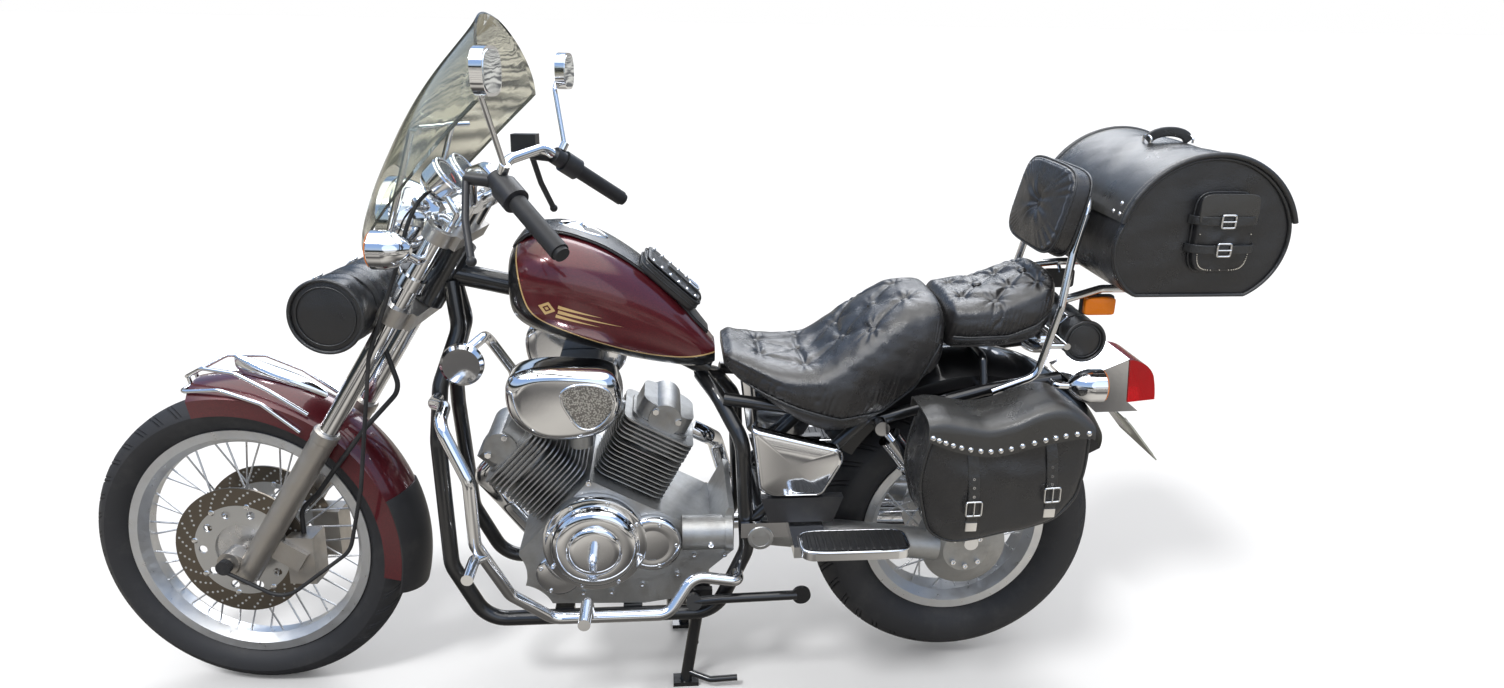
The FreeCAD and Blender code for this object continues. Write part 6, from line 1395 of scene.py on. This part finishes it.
# %% Pebbled plates
GRILLE = np.array([(0.184, 0.741), (0.160, 0.753), (0.122, 0.752), (0.098, 0.738), (0.090, 0.710),
                   (0.104, 0.681), (0.130, 0.663), (0.156, 0.668), (0.176, 0.698), (0.187, 0.724)])
grille_line = through(GRILLE, 120, closed=True)
grille_middle = grille_line.mean(0)
plate_rows = [(k, -0.001) for k in (0.04, 0.5, 0.96)] + [(1.0, 0.0004), (0.985, 0.0016)]
plate_rows += [(k, 0.0018) for k in np.linspace(0.95, 0.04, 14)]
plate_scale, plate_rise = np.array(plate_rows).T
flat = shrunk(grille_line, grille_middle, plate_scale)
plate_grid = side_view(flat, pod_face(flat) + plate_rise[:, None])
frame_ring = side_view(grille_line, pod_face(grille_line) + 0.001)
for side, sign in SIDES:
    flip = (1, sign, 1)
    skin(f"air_cleaner_grille_{side}", plate_grid * flip, PEBBLED_METAL_PAINTED_SHADE, "chassis")
    carry(f"air_cleaner_bezel_{side}", frame_ring * flip, circle(0.0030, 12), (0, 1, 0), CHROME,
          "chassis", closed=True)
print("air cleaners made")

# %% [markdown]
# ## Engine covers
# The covers are turned shapes, so each is one outline of radius and height, stamped once with many
# sides. Small bolt heads ring them.

# %% Turned covers
def both_sides(name, places, outline, material, sides=12):
    """Stamp a shape on the left side, facing left, and on the right side, facing right."""
    facing = np.tile([0, 1, 0], (len(places), 1))
    return [stamp(f"{name}_{side}", np.array(places) * (1, sign, 1), facing * (1, sign, 1), outline,
                  material, "chassis", sides) for side, sign in SIDES]


COVER_FACE = 0.1183
ALTERNATOR = [(104, 0), (107.5, 1.5), (108, 4), (108, 20), (106, 24.5), (101, 26.5), (93, 27),
              (91, 28.5), (90, 33), (88, 40), (84, 45.5), (78, 49), (70, 50.8), (60, 51.4),
              (57.5, 51), (56.5, 49.6), (55, 50.2), (54, 53), (50, 56), (40, 57.6), (20, 58),
              (1.5, 58)]
REAR_COVER = [(58, 0), (61.5, 1.5), (62, 4), (62, 15), (60, 19), (55, 21.2), (40, 22), (36, 20.8),
              (34, 21), (20, 22), (1.5, 22)]
LOW_COVER = [(45, 0), (47.5, 1.5), (48, 4), (48, 13), (46, 17), (41, 19.2), (20, 20), (1.5, 20)]
screws = []
for name, x, z, outline, rise, screw_ring in (
        ("alternator_cover", 0.140, 0.375, ALTERNATOR, 0.0265, (0.0992, 8, 0.3)),
        ("gear_cover", 0.022, 0.367, REAR_COVER, 0.0205, (0.0500, 5, 1.9)),
        ("sump_cover", 0.218, 0.301, LOW_COVER, 0.0185, (0.0400, 4, 3.6))):
    for piece in both_sides(name, [(x, COVER_FACE, z)], np.array(outline) / 1000, CHROME, 96):
        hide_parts("engine_covers")
    screws += list(ring_of((x, COVER_FACE + rise, z), *screw_ring))
both_sides("cover_screws", screws, np.array(BOLT) * 0.85, STUD_CHROME)
print("engine covers made, screws", len(screws))

# %% [markdown]
# ## Springs, pivot caps and side covers
# A coil is a helix about the line between the shock's two eyes, and a turned cap closes each end of
# the swingarm's pivot.

# %% Shock springs
SHOCK_TOP, SHOCK_LOW = np.array([-0.441, 0.164, 0.640]), np.array([-0.647, 0.164, 0.372])
shock_line = SHOCK_LOW - SHOCK_TOP
shock_length = np.linalg.norm(shock_line)
shock_along = shock_line / shock_length
shock_ahead = unit(np.cross(shock_along, (0, 1, 0)))
coil_turn = np.linspace(0, 2 * math.pi * 8.5, 400)
coil_run = np.linspace(0.097, shock_length - 0.054, 400)
coil = SHOCK_TOP + coil_run[:, None] * shock_along + 0.0232 * (
    np.cos(coil_turn)[:, None] * shock_ahead + np.sin(coil_turn)[:, None] * np.array([0, 1, 0]))
for side, points in both(coil):
    carry(f"shock_spring_{side}", points, circle(0.0040, 10), shock_along, CHROME, "chassis")
PIVOT_CAP = np.array([(27, -4), (27, 1), (25.5, 2.8), (19, 3.4), (18.5, 2.6), (12, 2.6)]) / 1000
both_sides("pivot_cap", [(-0.203, 0.1535, 0.387)], PIVOT_CAP, SATIN_METAL, 40)
print("springs and caps made")

# %% [markdown]
# The side cover is a thin chrome pillow, because a truly flat mirror would look like paper.

# %% Side covers
SIDE_COVER = np.array([(-178, 640), (-196, 500), (-224, 484), (-330, 484), (-371, 562),
                       (-366, 590)]) / 1000


def rounded_polygon(corners, count, reach):
    """Even points round a polygon, averaged with their neighbours to soften its corners."""
    edges = np.vstack([corners, corners[:1]])
    run = np.concatenate([[0], np.cumsum(np.linalg.norm(np.diff(edges, axis=0), axis=1))])
    places = np.linspace(0, run[-1], count, endpoint=False)
    points = sampled(edges, run, places)
    shifts = np.arange(-reach, reach + 1)
    return sum(np.roll(points, shift, axis=0) for shift in shifts) / len(shifts)


cover_line = rounded_polygon(SIDE_COVER, 180, 3)
turn = np.linspace(0.03, math.pi / 2, 14)
cover_scale = np.concatenate([[0.03, 0.5, 0.97, 1.0, 1.0], 0.86 + 0.14 * np.cos(turn),
                              np.linspace(0.83, 0.03, 16)])
cover_y = np.concatenate([[0.1422] * 3, [0.1435, 0.150], 0.152 + 0.015 * np.sin(turn),
                          0.167 + 0.006 * (1 - (np.linspace(0.83, 0.03, 16) / 0.86) ** 2)])
cover_grid = side_view(shrunk(cover_line, cover_line.mean(0), cover_scale), cover_y[:, None])
for side, points in both(cover_grid):
    piece = skin(f"side_cover_{side}", points, CHROME, "chassis", 45)
    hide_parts("side_covers")
print("side covers made")

# %% [markdown]
# Bolt heads are placed in side view only. A ray from outside finds the metal under each of them,
# and the way its surface faces, so that every head sits square on its casting.

# %% Bolts on the castings
def bolts_on(name, solid, spots, outline, corners=12):
    """Stamp heads on a solid from both sides, at the x and z places that have metal."""
    outside = 0.45
    for side, sign in SIDES:
        inward = Vector((0, -sign, 0))
        found = [nodes[solid].ray_cast(Vector((x, sign * outside, z)), inward) for x, z in spots]
        kept = [(hit, out) for struck, hit, out, _ in found if struck and out.y * sign > 0.9]
        if kept:
            hits, facings = (np.array(column) for column in zip(*kept))
            stamp(f"{name}_{side}", hits, facings, outline, STUD_CHROME, "chassis", corners)


HEX = [(0.0078, -0.002), (0.0078, 0.0048), (0.0068, 0.0062), (0.0030, 0.0062)]
CRANK = np.array([0.125, 0.372])
head_spots = []
for lean in (math.radians(47), math.radians(-28)):
    up = np.array([math.sin(lean), math.cos(lean)])
    across = up[::-1] * (1, -1)
    head_spots += [CRANK + up * rise + across * shift for rise, shift in (
        (0.262, -0.052), (0.262, 0.052), (0.292, -0.026), (0.292, 0.026), (0.318, 0.0))]
for end in ("front", "rear"):
    bolts_on(f"{end}_head_bolts", f"{end}_cylinder", head_spots, HEX, 6)
CASE_BOLTS = [(0.005, 0.455), (0.060, 0.498), (0.150, 0.505), (0.222, 0.470), (0.268, 0.405),
              (-0.052, 0.405), (-0.066, 0.330), (-0.030, 0.285), (0.045, 0.262), (0.110, 0.246),
              (0.170, 0.246), (-0.100, 0.372), (-0.130, 0.330), (-0.130, 0.410)]
CASE_BOLT = np.array(BOLT) * 1.15
bolts_on("case_bolts", "crankcase", CASE_BOLTS, CASE_BOLT)
SWINGARM_BOLTS = [(-0.612, 0.372), (-0.688, 0.372), (-0.650, 0.410), (-0.650, 0.297),
                  (-0.623, 0.307), (-0.677, 0.307), (-0.623, 0.362), (-0.677, 0.362)]
bolts_on("drive_bolts", "swingarm", SWINGARM_BOLTS, CASE_BOLT)
print("bolts placed")

# %% [markdown]
# ## Lamps, dials and mirrors
# Lenses are shallow domes in front of their chrome bodies. The dials are dark plates with pale
# marks and a needle, and each mirror has its glass a little inside its shell.

# %% Lenses
SIGNAL_DOME = (0.0318, 0.0085)


def dome_lens(name, middle, facing, radius, rise, material, body):
    """A shallow dome that faces a direction; its height falls with the radius squared."""
    share = np.linspace(1, 0.04, 12)
    outline = np.stack([radius * share, rise * (1 - share**2)], -1)
    outline = np.vstack([[(radius * 0.98, -0.004), (radius, -0.003)], outline])
    stamp(name, [middle], [facing], outline, material, body, 64)


fork_ahead, fork_side = steered_way((1, 0, 0)), steered_way((0, 1, 0))
for side, sign in SIDES:
    front, rear = steered((0.4925, 0.200 * sign, 1.001)), (-0.8965, 0.153 * sign, 0.716)
    dome_lens(f"front_signal_lens_{side}", front, fork_ahead, *SIGNAL_DOME, AMBER_LENS, "fork")
    dome_lens(f"rear_signal_lens_{side}", rear, (-1, 0, 0), *SIGNAL_DOME, AMBER_LENS, "chassis")
dome_lens("headlight_glass", steered((0.5285, 0, 1.026)), fork_ahead, 0.080, 0.0145, CLEAR_LENS,
          "fork")
print("lenses made")

# %% Dials
dial_out = steered_way(tilted(52)[1])
dial_up = np.cross(dial_out, fork_side)
DIAL_PLATE = [(0.0335, -0.002), (0.0335, 0.0006), (0.020, 0.0008), (0.002, 0.0008)]
DIAL_MARK = [(0.0011, 0.0004), (0.0011, 0.0013), (0.0006, 0.0014)]
NEEDLE_LONG = 0.024
mark_turn = np.radians(np.linspace(-130, 130, 27))[:, None]
for side, sign in SIDES:
    middle = steered((0.392, 0.052 * sign, 1.118)) + dial_out * 0.006
    stamp(f"dial_face_{side}", [middle], [dial_out], DIAL_PLATE, DIAL_BLACK, "fork", 48)
    spots = middle + 0.0285 * (np.sin(mark_turn) * fork_side - np.cos(mark_turn) * dial_up)
    stamp(f"dial_marks_{side}", spots, np.tile(dial_out, (27, 1)), DIAL_MARK, DIAL_WHITE, "fork", 6)
    foot = middle + dial_out * 0.0022
    needle = np.linspace(foot, foot + NEEDLE_LONG * unit(fork_side * 0.7 + dial_up), 8)
    carry(f"dial_needle_{side}", needle, circle(0.0007, 6), dial_out, NEEDLE_RED, "fork")
    ring = middle + circle(0.0365, 72) @ [fork_side, dial_up]
    carry(f"dial_bezel_{side}", ring, circle(0.0030, 12), dial_out, CHROME, "fork", closed=True)
print("dials made")

# %% Mirror glass
glass = pillow(rounded_box(0.106, 0.068, 96, 2.86), 0.0016, 0.0006, 0.0006, 8)
for side, sign in SIDES:
    local = (np.array([0.2262, 0.318 * sign, 1.312]), (0, 1, 0), (0, 0, 1), (-1, 0, 0))
    skin(f"mirror_glass_{side}", steered(placed(glass, *local)), MIRROR_GLASS, "fork", 40)
print("mirrors made")

# %% [markdown]
# ## Number plate, reflector and footrests
# The plate is blank, with only a pressed rim and two bolts. An amber reflector hangs under the
# rack, and the floorboards have ribbed rubber mats in a chrome frame.

# %% Plate and reflector
PLATE_OUT, PLATE_DOWN = tilted(140)
PLATE_FRAME = (np.array([-1.000, 0, 0.604]) + PLATE_DOWN * 0.058, (0, 1, 0), PLATE_DOWN, PLATE_OUT)
rim = raised(rounded_box(0.168, 0.104, 120, 12), 0.0004)
carry("number_plate_rim", placed(rim, *PLATE_FRAME), circle(0.0012, 8), PLATE_OUT, PLATE_METAL,
      "chassis", closed=True)
bolts = placed(np.array([(-0.045, -0.040, 0.0), (0.045, -0.040, 0.0)]), *PLATE_FRAME)
stamp("number_plate_bolts", bolts, np.tile(PLATE_OUT, (2, 1)), BOLT, CHROME, "chassis", 6)
REFLECTOR_X, REFLECTOR_Z = -0.884, 0.874
reflector = pillow(rounded_box(0.064, 0.036, 80, 8), 0.016, 0.002, 0.004, 12)
shell = pillow(rounded_box(0.070, 0.042, 80, 8), 0.010, 0.0, 0.002, 8)
arm = np.array([(REFLECTOR_X, 0.098, 0.888), (REFLECTOR_X, 0.104, 0.898),
                (REFLECTOR_X, 0.110, 0.902)])
for side, sign in SIDES:
    for name, shape, y, material in (("reflector", reflector, 0.106, AMBER_LENS),
                                     ("reflector_shell", shell, 0.097, BLACK_PLASTIC)):
        local = side_frame((REFLECTOR_X, y, REFLECTOR_Z), sign)
        skin(f"{name}_{side}", placed(shape, *local), material, "chassis", 40)
    carry(f"reflector_arm_{side}", through(arm * (1, sign, 1), 10), circle(0.004, 10), (1, 0, 0),
          CHROME, "chassis")
print("plate and reflectors made")

# %% Rubber mats
RIB_TALL = 0.0022


def ribbed_mat(name, middle, long, wide, ribs):
    """A mat whose outline is a rounded rectangle, with square ribs across it."""
    u = np.linspace(-1, 1, ribs * 10 + 1)[:, None]
    v = np.linspace(-1, 1, 24)[None]
    reach = (1 - np.abs(u) ** 7) ** (1 / 7)
    wave = np.clip(1.6 * np.sin(math.pi * (u + 1) * ribs), 0, 1)
    rib = RIB_TALL * wave * step(1 - np.abs(v), 0.0, 0.08)
    y = v * wide / 2 * np.maximum(reach, 0.05)
    grid = np.stack([np.broadcast_to(u * long / 2, y.shape), y, 0.004 + rib], -1)
    slab(name, grid + middle, 0.0036, GRIP_RUBBER, "chassis", 35)


for side, sign in SIDES:
    middle = (-0.378, 0.259 * sign, 0.4345)
    ribbed_mat(f"floorboard_mat_{side}", middle, 0.204, 0.074, 13)
    ring = raised(rounded_box(0.214, 0.084, 140, 5), 0) + middle
    carry(f"floorboard_edge_{side}", ring, circle(0.0034, 10), (0, 0, 1), CHROME, "chassis",
          closed=True)
print("mats made")

# %% [markdown]
# ## Studio
# A pale floor runs far behind the bike. Polished metal only looks like metal when it has dark and
# bright things to mirror, so the room is drawn as bands: a bright panel overhead, a cool wall, and
# a dark band at eye height. The camera itself sees plain white behind the floor, and mirrors see
# a darker floor with soft patches. Matt surfaces get plain grey light, so shadows stay neutral.

# %% Floor and room
FLOOR_HALF, FLOOR_WHITE = 80.0, (0.84, 0.84, 0.84)
mesh = bpy.data.meshes.new("studio_floor")
mesh.from_pydata([(-FLOOR_HALF, -FLOOR_HALF, 0), (FLOOR_HALF, -FLOOR_HALF, 0),
                  (FLOOR_HALF, FLOOR_HALF, 0), (-FLOOR_HALF, FLOOR_HALF, 0)], [], [(0, 1, 2, 3)])
floor = bpy.data.objects.new("studio_floor", mesh)
bpy.context.scene.collection.objects.link(floor)
floor_paint, floor_shader, floor_place = finish("floor_paint", FLOOR_WHITE, roughness=0.8,
                                                Specular_IOR_Level=0.1)
ray = node(floor_paint, "ShaderNodeLightPath")
patches = spread(floor_paint, noise(floor_paint, floor_place, 0.8, 0), 0.0, 1.0, 0.35, 0.65)
mirrored_floor = blend_colors(floor_paint, patches, (0.07, 0.065, 0.06), (0.52, 0.49, 0.44))
link(floor_paint, blend_colors(floor_paint, ray.outputs["Is Glossy Ray"], FLOOR_WHITE,
                               mirrored_floor), floor_shader, "Base Color")
floor.data.materials.append(floor_paint)

world = bpy.data.worlds.new("studio")
world.use_nodes = True
bpy.context.scene.world = world
backdrop = world.node_tree.nodes["Background"]
direction = node(world, "ShaderNodeTexCoord").outputs["Generated"]
height = node(world, "ShaderNodeSeparateXYZ", Vector=direction).outputs["Z"]
room = node(world, "ShaderNodeValToRGB", Fac=height)
BANDS = [(0.0, (0.30, 0.27, 0.22)), (0.03, (0.10, 0.10, 0.09)), (0.07, (0.025, 0.03, 0.03)),
         (0.16, (0.03, 0.035, 0.04)), (0.21, (0.50, 0.62, 0.78)), (0.45, (0.34, 0.50, 0.80)),
         (0.68, (0.30, 0.46, 0.80)), (0.76, (1.9, 1.95, 2.0)), (1.0, (2.3, 2.3, 2.3))]
while len(room.color_ramp.elements) < len(BANDS):
    room.color_ramp.elements.new(0.5)
for stop, (place, color) in zip(room.color_ramp.elements, BANDS):
    stop.position = place
    stop.color = (*color, 1)
paths = node(world, "ShaderNodeLightPath").outputs
lit = blend_colors(world, paths["Is Diffuse Ray"], room.outputs["Color"], (0.66, 0.66, 0.67))
world.node_tree.links.new(blend_colors(world, paths["Is Camera Ray"], lit, (1.0, 1.0, 1.0)),
                          backdrop.inputs["Color"])
backdrop.inputs["Strength"].default_value = 1.0


def sun(name, strength, soft, direction):
    """A distant light; soft is its angle across, in degrees."""
    lamp = bpy.data.lights.new(name, "SUN")
    lamp.energy = strength
    lamp.angle = math.radians(soft)
    thing = bpy.data.objects.new(name, lamp)
    thing.rotation_euler = Vector(direction).to_track_quat("-Z", "Y").to_euler()
    bpy.context.scene.collection.objects.link(thing)


sun("key_light", 1.5, 12, (-0.45, -0.55, -1.0))
sun("fill_light", 0.35, 50, (0.35, -0.9, -0.35))
sun("back_light", 1.3, 35, (0.20, 0.85, -0.62))
bpy.context.scene.view_settings.view_transform = "Standard"
print("studio ready")
